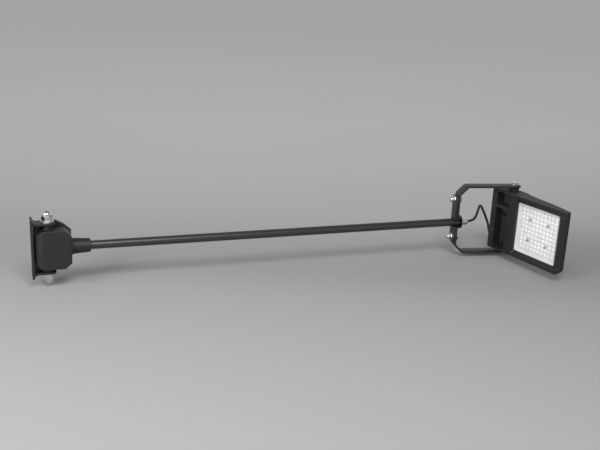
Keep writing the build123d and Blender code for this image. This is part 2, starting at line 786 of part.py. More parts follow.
m10_bolt = hex_screw(M10_R, stack + 2 * YOKE_WASHER_T + M10_NUT_BITE, M10_AF, M10_HEAD_H)
with BuildPart() as yoke_bolts:
    for seat in lamp_side:
        with Locations(seat.offset(YOKE_WASHER_T)):
            add(m10_bolt)
save(yoke_bolts, "yoke_bolts")

# End collar and cable gland on the lamp side of the web
with BuildPart() as end_collar:
    with BuildSketch(TUBE_AXIS.offset(COLLAR_END)):
        Circle(COLLAR_R)
    extrude(amount=-COLLAR_R)
    split(bisect_by=END_FACE.offset(stack), keep=Keep.TOP)
    chamfer(end_collar.edges().group_by(Axis.X)[-1], length=COLLAR_CHAMFER)
    with BuildSketch(TUBE_AXIS.offset(COLLAR_END)):
        Circle(COLLAR_BORE_R)
    extrude(amount=-COLLAR_R, mode=Mode.SUBTRACT)
save(end_collar, "end_collar")

def gland_parts(length: float) -> tuple[Part, Part, Part]:
    """Make a cable gland's body, seal and nut: seat at the origin, mouth at +Z."""
    nut_start = length - GLAND_NUT_L
    crown_start = length - GLAND_CROWN_L
    shoulder_r, shoulder_l = GLAND_SHOULDER
    seal_start = GLAND_HEX + GLAND_SEAL_GAP
    with BuildPart() as body:
        with BuildSketch():
            RegularPolygon(GLAND_AF / 2 + 1, 6, major_radius=False)
        extrude(amount=GLAND_HEX)
        with BuildSketch(Plane.XY.offset(GLAND_HEX)):
            Circle(GLAND_BODY_R)
        extrude(amount=length - GLAND_HEX - GLAND_SEAL_END)
        with BuildSketch():
            Circle(GLAND_THREAD_R)
        extrude(amount=-GLAND_THREAD_L)
        with BuildSketch(Plane.XY.offset(-GLAND_THREAD_L)):
            Circle(GLAND_BORE_R)
        extrude(amount=length, mode=Mode.SUBTRACT)
    with BuildPart() as seal:
        with BuildSketch(Plane.XY.offset(seal_start)):
            Circle(GLAND_BORE_R)
            Circle(CABLE_R, mode=Mode.SUBTRACT)
        extrude(amount=length - seal_start - GLAND_SEAL_END)
    with BuildPart() as nut:
        with BuildSketch(Plane.XZ):
            with BuildLine():
                Polyline(
                    (GLAND_BODY_R, nut_start),
                    (GLAND_NUT_R, nut_start),
                    (GLAND_NUT_R, crown_start),
                )
                Spline(
                    (GLAND_NUT_R, crown_start),
                    (shoulder_r, length - shoulder_l),
                    (GLAND_LIP_R, length),
                    tangents=[(0, 1), (-1, 0)],
                )
                Polyline(
                    (GLAND_LIP_R, length),
                    (CABLE_R, length),
                    (CABLE_R, length - GLAND_LIP_L),
                    (GLAND_BODY_R, length - GLAND_CONE_L),
                    (GLAND_BODY_R, nut_start),
                )
            make_face()
        revolve(axis=Axis.Z)
        with BuildSketch():
            RegularPolygon(GLAND_AF / 2, 6, major_radius=False)
        extrude(amount=length, mode=Mode.INTERSECT)
    return body.part, seal.part, nut.part


arm_gland = gland_parts(GLAND_END - COLLAR_END)
arm_gland_seat = TUBE_AXIS.offset(COLLAR_END)
with BuildPart() as gland_body:
    with Locations(arm_gland_seat):
        add(arm_gland[0])
save(gland_body, "gland_body")
with BuildPart() as gland_seal:
    with Locations(arm_gland_seat):
        add(arm_gland[1])
save(gland_seal, "gland_seal")
with BuildPart() as gland_nut:
    with Locations(arm_gland_seat):
        add(arm_gland[2])
save(gland_nut, "gland_nut")

# Nylon bushes in the yoke's two tips
with BuildPart() as yoke_bushes:
    for side in (1, -1):
        tip = Plane(origin=lamp_pivot + Vector(0, 0, side * YOKE_HALF_H), z_dir=(0, 0, side))
        with BuildSketch(tip):
            Circle(YOKE_BUSH_R)
        extrude(amount=YOKE_BUSH_FLANGE)
        with BuildSketch(tip):
            Circle(M10_R + YOKE_BUSH_WALL)
        extrude(amount=-STRAP_T - YOKE_BUSH_REACH)
        with BuildSketch(tip.offset(YOKE_BUSH_FLANGE)):
            Circle(M10_R + YOKE_BUSH_FIT)
        extrude(amount=-2 * STRAP_T, mode=Mode.SUBTRACT)
save(yoke_bushes, "yoke_bushes")

# Lamp housing: tray for the lamps and the driver, fins on its back
house_far = LAMP_FAR + SIDE_GAP
house_near = LAMP_NEAR - SIDE_GAP
back_profile = [
    (house_far, FRAME_BACK),
    (house_far, BACK_FAR + BACK_STEP),
    (house_far + BACK_STEP, BACK_FAR),
    *BACK_SLOPE,
    (house_near - BACK_NEAR_L, FRAME_BACK - BACK_NEAR_D),
    (house_near, FRAME_BACK - BACK_NEAR_LIP),
    (house_near, FRAME_BACK),
]
post_xs = (DRIVER_START + POST_INSET, DRIVER_END - POST_INSET)
driver_posts = [(x, y) for x in post_xs for y in (-POST_Y, POST_Y)]
lamp_end = Plane(
    origin=lamp_pivot + lamp_u * house_far + lamp_n * LAMP_GLAND_N + Vector(0, 0, LAMP_GLAND_Y),
    z_dir=lamp_u * -1,
)


def lamp_outline(gap: float) -> Sketch:
    """Outline of the lamp seen from its front, drawn in by gap all round."""
    far = LAMP_FAR + gap
    near = LAMP_NEAR - gap
    half_h = LAMP_HALF_H - gap
    with BuildSketch() as outline:
        Polygon(
            (far, -half_h),
            (near - FRAME_CUT_LOW, -half_h),
            (near, -half_h + FRAME_CUT_LOW),
            (near, half_h - FRAME_CUT_HIGH),
            (near - FRAME_CUT_HIGH, half_h),
            (far, half_h),
            align=None,
        )
        fillet(outline.vertices().group_by(Axis.X)[0], radius=FRAME_FAR_R)
        low = outline.vertices().filter_by(lambda v: v.X > near - FRAME_CUT_LOW - 1 and v.Y < 0)
        fillet(low, radius=FRAME_LOW_R)
        high = outline.vertices().filter_by(lambda v: v.X > near - FRAME_CUT_HIGH - 1 and v.Y > 0)
        fillet(high, radius=FRAME_HIGH_R)
    return outline.sketch


house_outline = lamp_outline(SIDE_GAP)
with BuildPart() as lamp_housing:
    top_face = Plane(origin=lamp_pivot + Vector(0, 0, LAMP_HALF_H), x_dir=lamp_u, z_dir=(0, 0, 1))
    with BuildSketch(top_face):
        Polygon(*[(x, -y) for x, y in back_profile], align=None)
    extrude(amount=-2 * LAMP_HALF_H)
    with BuildSketch(LAMP.offset(BACK_FAR - 1)):
        add(house_outline)
    extrude(amount=60, mode=Mode.INTERSECT)
    fins_l = house_near + 20 - FINS_START
    with BuildSketch(LAMP.offset(FIN_FLOOR)):
        with Locations((FINS_START + fins_l / 2, 0)):
            with GridLocations(fins_l, FIN_PITCH, 1, FIN_COUNT):
                Rectangle(fins_l, FIN_PITCH - FIN_T)
    extrude(amount=-40, mode=Mode.SUBTRACT)
    with BuildSketch(LAMP.offset(FRAME_BACK)):
        with Locations((WINDOW_MID, 0)):
            RectangleRounded(TRAY_L, 2 * TRAY_HALF_H, TRAY_R)
    extrude(amount=-(FRAME_BACK - TRAY_FLOOR), mode=Mode.SUBTRACT)
    driver_mid = (DRIVER_START + DRIVER_END) / 2
    driver_l = DRIVER_END - DRIVER_START
    with BuildSketch(LAMP.offset(FRAME_BACK)):
        with Locations((driver_mid, 0)):
            RectangleRounded(driver_l + 2 * COVER_SEAT, 2 * COVER_HALF_H, COVER_CORNER_R)
    extrude(amount=-COVER_SEAT, mode=Mode.SUBTRACT)
    with BuildSketch(LAMP.offset(FRAME_BACK - COVER_SEAT)):
        with Locations((driver_mid, 0)):
            RectangleRounded(driver_l, 2 * DRIVER_HALF_H, DRIVER_CORNER_R)
    extrude(amount=-(FRAME_BACK - COVER_SEAT - DRIVER_FLOOR), mode=Mode.SUBTRACT)
    with BuildSketch(LAMP.offset(DRIVER_FLOOR)):
        with Locations(*driver_posts):
            Circle(POST_R)
    extrude(amount=FRAME_BACK - COVER_SEAT - DRIVER_FLOOR)
    with BuildSketch(LAMP.offset(FRAME_BACK - COVER_SEAT)):
        with Locations(*driver_posts):
            Circle(M4_R)
    extrude(amount=-POST_THREAD_L, mode=Mode.SUBTRACT)
    for side in (1, -1):
        boss_foot = lamp_pivot + Vector(0, 0, side * LAMP_BOSS_FOOT)
        pivot_face = Plane(origin=boss_foot, z_dir=(0, 0, side))
        with BuildSketch(pivot_face):
            Circle(LAMP_BOSS_R)
        extrude(amount=LAMP_BOSS_TOP - LAMP_BOSS_FOOT)
        with BuildSketch(pivot_face):
            Circle(M10_R)
        extrude(amount=LAMP_BOSS_BORE_L, mode=Mode.SUBTRACT)
    with BuildSketch(lamp_end):
        Circle(GLAND_THREAD_R)
    extrude(amount=-LAMP_GLAND_HOLE_L, mode=Mode.SUBTRACT)
    with BuildSketch(LAMP.offset(DRIVER_FLOOR)):
        with Locations(VENT_SPOT):
            Circle(VENT_HOLE_R)
    extrude(amount=2 * (BACK_FAR - DRIVER_FLOOR), mode=Mode.SUBTRACT)
save(lamp_housing, "lamp_housing")

# Front frame: window that flares open on three sides, two pockets over the driver cover
with BuildPart() as front_frame:
    with BuildSketch(LAMP.offset(FRAME_BACK)):
        add(lamp_outline(0))
    extrude(amount=LAMP_FRONT - FRAME_BACK)
    rim = front_frame.faces().sort_by(Axis(lamp_pivot, lamp_n))[-1].edges()
    fillet(rim, radius=FRAME_RIM_R)
    with BuildSketch(LAMP.offset(FRAME_BACK)):
        with Locations((WINDOW_MID, 0)):
            RectangleRounded(WINDOW_L + GLASS_HOLD, WINDOW_H + GLASS_HOLD, WINDOW_R + 2)
    extrude(amount=FLARE_START - FRAME_BACK, mode=Mode.SUBTRACT)
    with BuildSketch(LAMP.offset(FLARE_START)):
        with Locations((WINDOW_MID, 0)):
            RectangleRounded(WINDOW_L, WINDOW_H, WINDOW_R)
    with BuildSketch(LAMP.offset(LAMP_FRONT)):
        with Locations((WINDOW_MID + FLARE_OUT / 2, 0)):
            RectangleRounded(WINDOW_L + FLARE_OUT, WINDOW_H + 2 * FLARE_OUT, WINDOW_R)
    loft(mode=Mode.SUBTRACT)
    for x0, y0, x1, y1 in POCKETS:
        with BuildSketch(LAMP.offset(LAMP_FRONT)):
            with Locations(((x0 + x1) / 2, (y0 + y1) / 2)):
                RectangleRounded(x1 - x0, y1 - y0, POCKET_R)
        extrude(amount=FRAME_BACK - LAMP_FRONT, mode=Mode.SUBTRACT)
    with BuildSketch(LAMP.offset(LAMP_FRONT)):
        with Locations(*SCREW_SPOTS):
            Circle(FRAME_SCREW_HOLE_R)
    extrude(amount=FRAME_BACK - LAMP_FRONT, mode=Mode.SUBTRACT)
    with BuildSketch(LAMP.offset(LAMP_FRONT)):
        with Locations(*SCREW_SPOTS):
            Circle(FRAME_SCREW_BORE_R)
    extrude(amount=-FRAME_SCREW_DEPTH, mode=Mode.SUBTRACT)
save(front_frame, "front_frame")

screw_seat = LAMP_FRONT - FRAME_SCREW_DEPTH
frame_screw = cap_screw(FRAME_SCREW_R, screw_seat - FRAME_BACK)
with BuildPart() as frame_screws:
    for x, y in SCREW_SPOTS:
        with Locations(LAMP.offset(screw_seat)):
            with Locations((x, y)):
                add(frame_screw)
save(frame_screws, "frame_screws")

with BuildPart() as glass_gasket:
    with BuildSketch(LAMP.offset(FRAME_BACK)):
        with Locations((WINDOW_MID, 0)):
            RectangleRounded(WINDOW_L + GLASS_HOLD, WINDOW_H + GLASS_HOLD, WINDOW_R + 2)
            RectangleRounded(WINDOW_L, WINDOW_H, WINDOW_R, mode=Mode.SUBTRACT)
    extrude(amount=GASKET_H)
save(glass_gasket, "glass_gasket")

with BuildPart() as front_glass:
    with BuildSketch(LAMP.offset(FRAME_BACK + GASKET_H)):
        with Locations((WINDOW_MID, 0)):
            RectangleRounded(WINDOW_L + GLASS_HOLD, WINDOW_H + GLASS_HOLD, WINDOW_R + 2)
    extrude(amount=FLARE_START - FRAME_BACK - GASKET_H)
save(front_glass, "front_glass")

# Board and its lens plate: four of the hundred lens places hold screws instead
lens_back = TRAY_FLOOR + BOARD_T
board_screw_spots = [
    (WINDOW_MID + x, y)
    for x in (-BOARD_SCREW_X, BOARD_SCREW_X)
    for y in (-BOARD_SCREW_Y, BOARD_SCREW_Y)
]
lens_steps = [step - (LENS_ROWS - 1) / 2 for step in range(LENS_ROWS)]
lens_places = [
    (WINDOW_MID + column * LENS_PITCH_X, row * LENS_PITCH_Y)
    for column in lens_steps
    for row in lens_steps
]
lens_spots = [
    place
    for place in lens_places
    if min(math.dist(place, spot) for spot in board_screw_spots) > LENS_L
]
with BuildPart() as led_board:
    with BuildSketch(LAMP.offset(TRAY_FLOOR)):
        with Locations((WINDOW_MID, 0)):
            RectangleRounded(TRAY_L - 2 * BOARD_GAP, 2 * (TRAY_HALF_H - BOARD_GAP), TRAY_R - BOARD_GAP)
        with Locations(*board_screw_spots):
            Circle(BOARD_SCREW_R + BOARD_SCREW_FIT, mode=Mode.SUBTRACT)
    extrude(amount=BOARD_T)
save(led_board, "led_board")

plate_l = TRAY_L - 2 * LENS_PLATE_GAP
plate_h = 2 * (TRAY_HALF_H - LENS_PLATE_GAP)
with BuildPart() as lens_plate:
    with BuildSketch(LAMP.offset(lens_back)):
        with Locations((WINDOW_MID, 0)):
            RectangleRounded(plate_l, plate_h, TRAY_R - LENS_PLATE_GAP)
    extrude(amount=LENS_PLATE_FRONT - lens_back)
    with BuildSketch(LAMP.offset(LENS_PLATE_FRONT)):
        with Locations(*lens_spots):
            Rectangle(LENS_L, LENS_H)
    extrude(amount=LENS_RISE, taper=LENS_TAPER)
    with BuildSketch(LAMP.offset(lens_back)):
        with Locations((WINDOW_MID, 0)):
            RectangleRounded(plate_l - 2 * LENS_PLATE_WALL, plate_h - 2 * LENS_PLATE_WALL, 2)
        with Locations(*board_screw_spots):
            Circle(BOARD_PILLAR_R, mode=Mode.SUBTRACT)
    extrude(amount=LENS_PLATE_FRONT - lens_back - LENS_PLATE_T, mode=Mode.SUBTRACT)
    with BuildSketch(LAMP.offset(lens_back)):
        with Locations(*board_screw_spots):
            Circle(BOARD_SCREW_R + BOARD_SCREW_FIT)
    extrude(amount=LENS_PLATE_FRONT - lens_back, mode=Mode.SUBTRACT)
save(lens_plate, "lens_plate")

board_screw = cap_screw(BOARD_SCREW_R, LENS_PLATE_FRONT - TRAY_FLOOR)
with BuildPart() as board_screws:
    for x, y in board_screw_spots:
        with Locations(LAMP.offset(LENS_PLATE_FRONT)):
            with Locations((x, y)):
                add(board_screw)
save(board_screws, "board_screws")

with BuildPart() as led_driver:
    with BuildSketch(LAMP.offset(DRIVER_FLOOR)):
        with Locations((driver_mid, 0)):
            RectangleRounded(
                driver_l - 2 * DRIVER_MARGIN,
                2 * (DRIVER_HALF_H - DRIVER_END_GAP),
                DRIVER_MARGIN,
            )
    extrude(amount=DRIVER_H)
    driver_rim = led_driver.faces().sort_by(Axis(lamp_pivot, lamp_n))[-1].edges()
    fillet(driver_rim, radius=DRIVER_EDGE_R)
save(led_driver, "led_driver")

with BuildPart() as driver_cover:
    with BuildSketch(LAMP.offset(FRAME_BACK - COVER_SEAT)):
        with Locations((driver_mid, 0)):
            RectangleRounded(
                driver_l + 2 * (COVER_SEAT - COVER_FIT),
                2 * (COVER_HALF_H - COVER_FIT),
                COVER_CORNER_R,
            )
    extrude(amount=COVER_SEAT)
    with BuildSketch(LAMP.offset(FRAME_BACK)):
        with Locations(*driver_posts):
            Circle(M4_HOLE_R)
    extrude(amount=-COVER_SEAT, mode=Mode.SUBTRACT)
    with BuildSketch(LAMP.offset(FRAME_BACK)):
        with Locations(*driver_posts):
            Circle(POST_SCREW_BORE_R)
    extrude(amount=-POST_SCREW_SINK, mode=Mode.SUBTRACT)
save(driver_cover, "driver_cover")

with BuildPart() as driver_cover_screws:
    post_seat = LAMP.offset(FRAME_BACK - POST_SCREW_SINK)
    with BuildSketch(post_seat):
        with Locations(*driver_posts):
            Circle(POST_SCREW_HEAD_R)
    extrude(amount=POST_SCREW_SINK - COVER_FIT)
    with BuildSketch(post_seat.offset(POST_SCREW_SINK - COVER_FIT)):
        with Locations(*driver_posts):
            Rectangle(POST_SLOT_L, POST_SLOT_W)
    extrude(amount=-POST_SCREW_SINK / 2, mode=Mode.SUBTRACT)
    with BuildSketch(post_seat):
        with Locations(*driver_posts):
            Circle(M4_R)
    extrude(amount=-POST_SCREW_L)
save(driver_cover_screws, "driver_cover_screws")

lamp_gland = gland_parts(LAMP_GLAND_L)
with BuildPart() as lamp_gland_body:
    with Locations(lamp_end):
        add(lamp_gland[0])
save(lamp_gland_body, "lamp_gland_body")
with BuildPart() as lamp_gland_seal:
    with Locations(lamp_end):
        add(lamp_gland[1])
save(lamp_gland_seal, "lamp_gland_seal")
with BuildPart() as lamp_gland_nut:
    with Locations(lamp_end):
        add(lamp_gland[2])
save(lamp_gland_nut, "lamp_gland_nut")
with BuildPart() as lamp_cable:
    with BuildSketch(lamp_end.offset(-GLAND_THREAD_L)):
        Circle(CABLE_R)
    extrude(amount=LAMP_GLAND_L + GLAND_THREAD_L - CABLE_GAP)
save(lamp_cable, "lamp_cable")

with BuildPart() as vent_plug:
    with BuildSketch(LAMP.offset(DRIVER_FLOOR)):
        with Locations(VENT_SPOT):
            Circle(VENT_HOLE_R - VENT_FIT)
    extrude(amount=BACK_FAR - DRIVER_FLOOR)
    with BuildSketch(LAMP.offset(BACK_FAR)):
        with Locations(VENT_SPOT):
            Circle(VENT_HEAD_R)
    extrude(amount=-VENT_HEAD_T)
save(vent_plug, "vent_plug")

# Lamp pivot bolts, screwed into the housing's two bosses through the bushes
bolt_face = YOKE_HALF_H + YOKE_BUSH_FLANGE
with BuildPart() as lamp_pivot_washers:
    for side in (1, -1):
        tip = Plane(origin=lamp_pivot + Vector(0, 0, side * bolt_face), z_dir=(0, 0, side))
        with BuildSketch(tip):
            Circle(YOKE_WASHER_R)
            Circle(M10_R, mode=Mode.SUBTRACT)
        extrude(amount=YOKE_WASHER_T)
save(lamp_pivot_washers, "lamp_pivot_washers")

pivot_bolt = hex_screw(M10_R, LAMP_BOLT_L, M10_AF, M10_HEAD_H)
with BuildPart() as lamp_pivot_bolts:
    for side in (1, -1):
        seat = Vector(0, 0, side * (bolt_face + YOKE_WASHER_T))
        with Locations(Plane(origin=lamp_pivot + seat, z_dir=(0, 0, side))):
            add(pivot_bolt)
save(lamp_pivot_bolts, "lamp_pivot_bolts")

# Free lead from the arm's gland over to the lamp's gland
lamp_mouth = lamp_end.origin + lamp_u * -LAMP_GLAND_L
lead_end = lamp_mouth + lamp_u * -LEAD_LAST_L + Vector(0, 0, LEAD_LAST_RISE)
lead_route = [(GLAND_END, 0, 0), *LEAD_POINTS, lead_end, lamp_mouth]


def lead_radii(route: list) -> list[float]:
    """Give each corner of the route the arc that its two runs allow."""
    points = [Vector(p) for p in route]
    radii = []
    for before, corner, after in zip(points, points[1:], points[2:]):
        come = corner - before
        go = after - corner
        half_turn = math.radians(come.get_angle(go)) / 2
        radii.append(ARC_SHARE * min(come.length, go.length) / math.tan(half_turn))
    return radii


radii = lead_radii(lead_route)
print("lead radii", [round(r, 1) for r in radii])
with BuildPart() as lamp_lead:
    with BuildLine() as lead_line:
        FilletPolyline(*lead_route, radius=radii)
    with BuildSketch(Plane(origin=lead_line.line @ 0, z_dir=lead_line.line % 0)):
        Circle(CABLE_R)
    sweep(path=lead_line.line)
lead_length = lead_line.wires()[0].length
section = math.pi * CABLE_R**2
print("lead length", round(lead_length, 1))
print("lead volume ratio", round(lamp_lead.part.volume / (section * lead_length), 4))
save(lamp_lead, "lamp_lead")
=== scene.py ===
"""Looks of an LED floodlight on a long wall arm.

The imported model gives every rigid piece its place. This script makes the
pieces that need a finer shape (the free lead, the lens array, the yoke and its
plate, the tube's end and its collar, the acorn nuts and two cast webs), gives
each piece its finish, and sets up the camera, the floor and the light.
"""

from __future__ import annotations

import json
import logging
import math
from dataclasses import dataclass, field
from enum import Enum
from typing import Iterable, Optional

import bmesh
import bpy
from mathutils import Matrix, Vector


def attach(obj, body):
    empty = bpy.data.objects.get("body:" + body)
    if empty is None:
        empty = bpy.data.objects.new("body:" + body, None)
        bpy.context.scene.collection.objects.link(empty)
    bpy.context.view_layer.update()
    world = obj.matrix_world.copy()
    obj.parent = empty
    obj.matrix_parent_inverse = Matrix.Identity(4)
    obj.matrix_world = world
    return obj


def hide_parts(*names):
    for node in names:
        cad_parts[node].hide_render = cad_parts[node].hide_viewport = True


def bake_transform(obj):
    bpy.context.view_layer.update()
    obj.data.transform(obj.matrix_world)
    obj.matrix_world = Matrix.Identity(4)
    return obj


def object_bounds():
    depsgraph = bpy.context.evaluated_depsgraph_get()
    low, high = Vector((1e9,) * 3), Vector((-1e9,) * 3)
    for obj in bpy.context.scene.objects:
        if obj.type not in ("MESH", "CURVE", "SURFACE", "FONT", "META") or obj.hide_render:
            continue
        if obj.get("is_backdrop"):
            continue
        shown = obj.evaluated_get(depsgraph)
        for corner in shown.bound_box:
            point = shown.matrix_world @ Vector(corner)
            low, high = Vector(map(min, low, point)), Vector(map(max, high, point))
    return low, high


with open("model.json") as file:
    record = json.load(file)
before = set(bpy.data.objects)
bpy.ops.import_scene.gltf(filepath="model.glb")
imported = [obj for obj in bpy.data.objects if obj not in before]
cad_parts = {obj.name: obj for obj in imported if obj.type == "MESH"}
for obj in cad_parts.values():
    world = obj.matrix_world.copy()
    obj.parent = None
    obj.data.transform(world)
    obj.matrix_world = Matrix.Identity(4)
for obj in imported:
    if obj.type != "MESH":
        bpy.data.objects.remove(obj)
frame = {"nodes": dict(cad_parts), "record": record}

log = logging.getLogger("floodlight")
# One millimetre in metres
MM = 0.001
# Slack when places in millimetres, or angles in radians, are compared
SAME = 0.0001
NEAR = 0.01
# How alike the true and the rounded normal are on a flat face and at an edge
EDGE_FLAT = 0.995
EDGE_TURNED = 0.90
# Features per metre of the patches where paint is rubbed
RUB_PER_M = 120.0
# How far those patches reach past none and past all of the rub
RUB_SPREAD = (-0.6, 1.6)
# Corners nearer than this, in metres, are one
WELD = 1e-7


class Body(Enum):
    """The three bodies that the hinges join."""

    BRACKET = "bracket"
    ARM = "arm"
    LAMP = "lamp"


class Slot(Enum):
    """Material slots of the record."""

    BRACKET_PAINT = "bracket_paint"
    TUBE_PAINT = "tube_paint"
    CAST_PAINT = "cast_paint"
    LAMP_PAINT = "lamp_paint"
    BRIGHT_ZINC = "bright_zinc"
    POLISHED_STEEL = "polished_steel"
    NICKEL_BRASS = "nickel_brass"
    BLACK_RUBBER = "black_rubber"
    BLACK_NYLON = "black_nylon"
    GREY_NYLON = "grey_nylon"
    CLEAR_GLASS = "clear_glass"
    WHITE_LENS = "white_lens"
    BOARD_WHITE = "board_white"
    DRIVER_CASE = "driver_case"
    GLOSS_BLACK = "gloss_black"
    BLACK_STEEL = "black_steel"


class NodeGraph:
    """Short way to build a material's node graph."""

    def __init__(self, name: str) -> None:
        """Start an empty graph with one shader and one output.

        Args:
            name: name of the material.
        """
        self.material = bpy.data.materials.new(name)
        self.material.use_nodes = True
        self.tree = self.material.node_tree
        self.tree.nodes.clear()
        self.output = self.tree.nodes.new("ShaderNodeOutputMaterial")
        self.shader = self.tree.nodes.new("ShaderNodeBsdfPrincipled")
        self.link(self.shader, "BSDF", self.output, "Surface")
        self.place = self.tree.nodes.new("ShaderNodeTexCoord")

    def add(self, kind: str, **settings: object) -> bpy.types.Node:
        """Add a node and set its properties.

        Args:
            kind: Blender's name for the node type.
            **settings: properties of the node, by name.

        Returns:
            The new node.
        """
        node = self.tree.nodes.new(kind)
        for key, value in settings.items():
            setattr(node, key, value)
        return node

    def link(
        self, source: bpy.types.Node, out: str, target: bpy.types.Node, into: str | int
    ) -> None:
        """Join an output of one node to an input of another."""
        self.tree.links.new(source.outputs[out], target.inputs[into])

    def noise(self, scale: float, detail: float = 2.0, rough: float = 0.5) -> bpy.types.Node:
        """Add a noise texture on object coordinates.

        Args:
            scale: features per metre.
            detail: number of octaves.
            rough: how strong the finer octaves are.

        Returns:
            The noise node, whose output is Fac.
        """
        node = self.add("ShaderNodeTexNoise")
        node.inputs["Scale"].default_value = scale
        node.inputs["Detail"].default_value = detail
        node.inputs["Roughness"].default_value = rough
        self.link(self.place, "Object", node, "Vector")
        return node

    def ramp(
        self,
        source: bpy.types.Node,
        stops: Iterable[tuple[float, tuple]],
        out: str = "Fac",
        interpolation: str = "LINEAR",
    ) -> bpy.types.Node:
        """Turn a grey value into a colour.

        Args:
            source: node that gives the value.
            stops: places from 0 to 1, each with a colour of four numbers.
            out: name of the source's output.
            interpolation: how colours between the stops are found.

        Returns:
            The ramp node, whose output is Color.
        """
        node = self.add("ShaderNodeValToRGB")
        node.color_ramp.interpolation = interpolation
        marks = list(stops)
        elements = node.color_ramp.elements
        while len(elements) < len(marks):
            elements.new(0.5)
        for element, (where, colour) in zip(elements, marks):
            element.position = where
            element.color = colour
        self.link(source, out, node, "Fac")
        return node

    def span(self, source: bpy.types.Node, low: float, high: float) -> bpy.types.Node:
        """Map a value from 0 to 1 onto another span.

        Args:
            source: node with an output named Fac.
            low: result at 0.
            high: result at 1.

        Returns:
            The mapping node, whose output is Result.
        """
        node = self.add("ShaderNodeMapRange")
        node.inputs["To Min"].default_value = low
        node.inputs["To Max"].default_value = high
        self.link(source, "Fac", node, "Value")
        return node

    def bump(
        self,
        height: bpy.types.Node,
        depth: float,
        strength: float,
        under: Optional[bpy.types.Node] = None,
    ) -> None:
        """Make fine relief from a height and join it to the shader.

        Args:
            height: node with an output named Fac.
            depth: height of the relief in metres.
            strength: how much of it shows, from 0 to 1.
            under: node with an output named Normal that the relief lies on.
        """
        node = self.add("ShaderNodeBump")
        node.inputs["Strength"].default_value = strength
        node.inputs["Distance"].default_value = depth
        self.link(height, "Fac", node, "Height")
        if under is not None:
            self.link(under, "Normal", node, "Normal")
        self.link(node, "Normal", self.shader, "Normal")

    def soft_edge(self, radius: float) -> bpy.types.Node:
        """Round the look of sharp edges.

        Args:
            radius: size of the rounding in metres.

        Returns:
            The bevel node, whose output is Normal.
        """
        node = self.add("ShaderNodeBevel", samples=6)
        node.inputs["Radius"].default_value = radius
        return node

    def worn(
        self,
        colour: bpy.types.Node,
        rounded: bpy.types.Node,
        bare: tuple,
        amount: float,
    ) -> bpy.types.Node:
        """Let a lighter tone through where edges are rubbed.

        Args:
            colour: node with an output named Color, the sound finish.
            rounded: bevel node whose normal leaves the true one at edges.
            bare: colour of the rubbed edge.
            amount: how much of it shows, from 0 to 1.

        Returns:
            The mixing node, whose output is Color.
        """
        true = self.add("ShaderNodeNewGeometry")
        same = self.add("ShaderNodeVectorMath", operation="DOT_PRODUCT")
        self.link(rounded, "Normal", same, 0)
        self.link(true, "Normal", same, 1)
        edge = self.add("ShaderNodeMapRange")
        edge.inputs["From Min"].default_value = EDGE_FLAT
        edge.inputs["From Max"].default_value = EDGE_TURNED
        self.link(same, "Value", edge, "Value")
        patches = self.noise(RUB_PER_M, detail=4.0, rough=0.7)
        low, high = RUB_SPREAD
        patch = self.span(patches, low * amount, high * amount)
        both = self.add("ShaderNodeMath", operation="MULTIPLY", use_clamp=True)
        self.link(edge, "Result", both, 0)
        self.link(patch, "Result", both, 1)
        mixed = self.add("ShaderNodeMixRGB")
        mixed.inputs["Color2"].default_value = bare
        self.link(both, "Value", mixed, "Fac")
        self.link(colour, "Color", mixed, "Color1")
        return mixed


def round_off(
    shape: bmesh.types.BMesh,
    geom: list,
    offset: float,
    segments: int = 2,
    affect: str = "EDGES",
    clamp: bool = False,
) -> None:
    """Bevel edges or corners of a mesh to a round.

    Args:
        shape: mesh that they belong to.
        geom: the edges, or the corners' vertices.
        offset: width of the bevel.
        segments: how many facets it has.
        affect: EDGES or VERTICES.
        clamp: whether bevels that meet are held back from each other.
    """
    bmesh.ops.bevel(
        shape,
        geom=geom,
        offset=offset,
        segments=segments,
        profile=0.5,
        affect=affect,
        material=-1,
        clamp_overlap=clamp,
    )


def grey(level: float, tint: tuple[float, float, float] = (1.0, 1.0, 1.0)) -> tuple:
    """Give a linear colour of four numbers from a display level of 0 to 1."""
    linear = ((level + 0.055) / 1.055) ** 2.4 if level > 0.04045 else level / 12.92
    return (linear * tint[0], linear * tint[1], linear * tint[2], 1.0)


def two_shades(
    level: float,
    tint: tuple[float, float, float],
    stops: tuple[float, float],
    shade: tuple[float, float],
) -> list[tuple[float, tuple]]:
    """Give the darker and the paler stop of a clouded colour.

    Args:
        level: the colour's own display level.
        tint: share of red, green and blue.
        stops: where the two shades stand, from 0 to 1.
        shade: how many times the level each of them is.

    Returns:
        Both stops, each with its place and its linear colour.
    """
    return [(where, grey(level * times, tint)) for where, times in zip(stops, shade)]


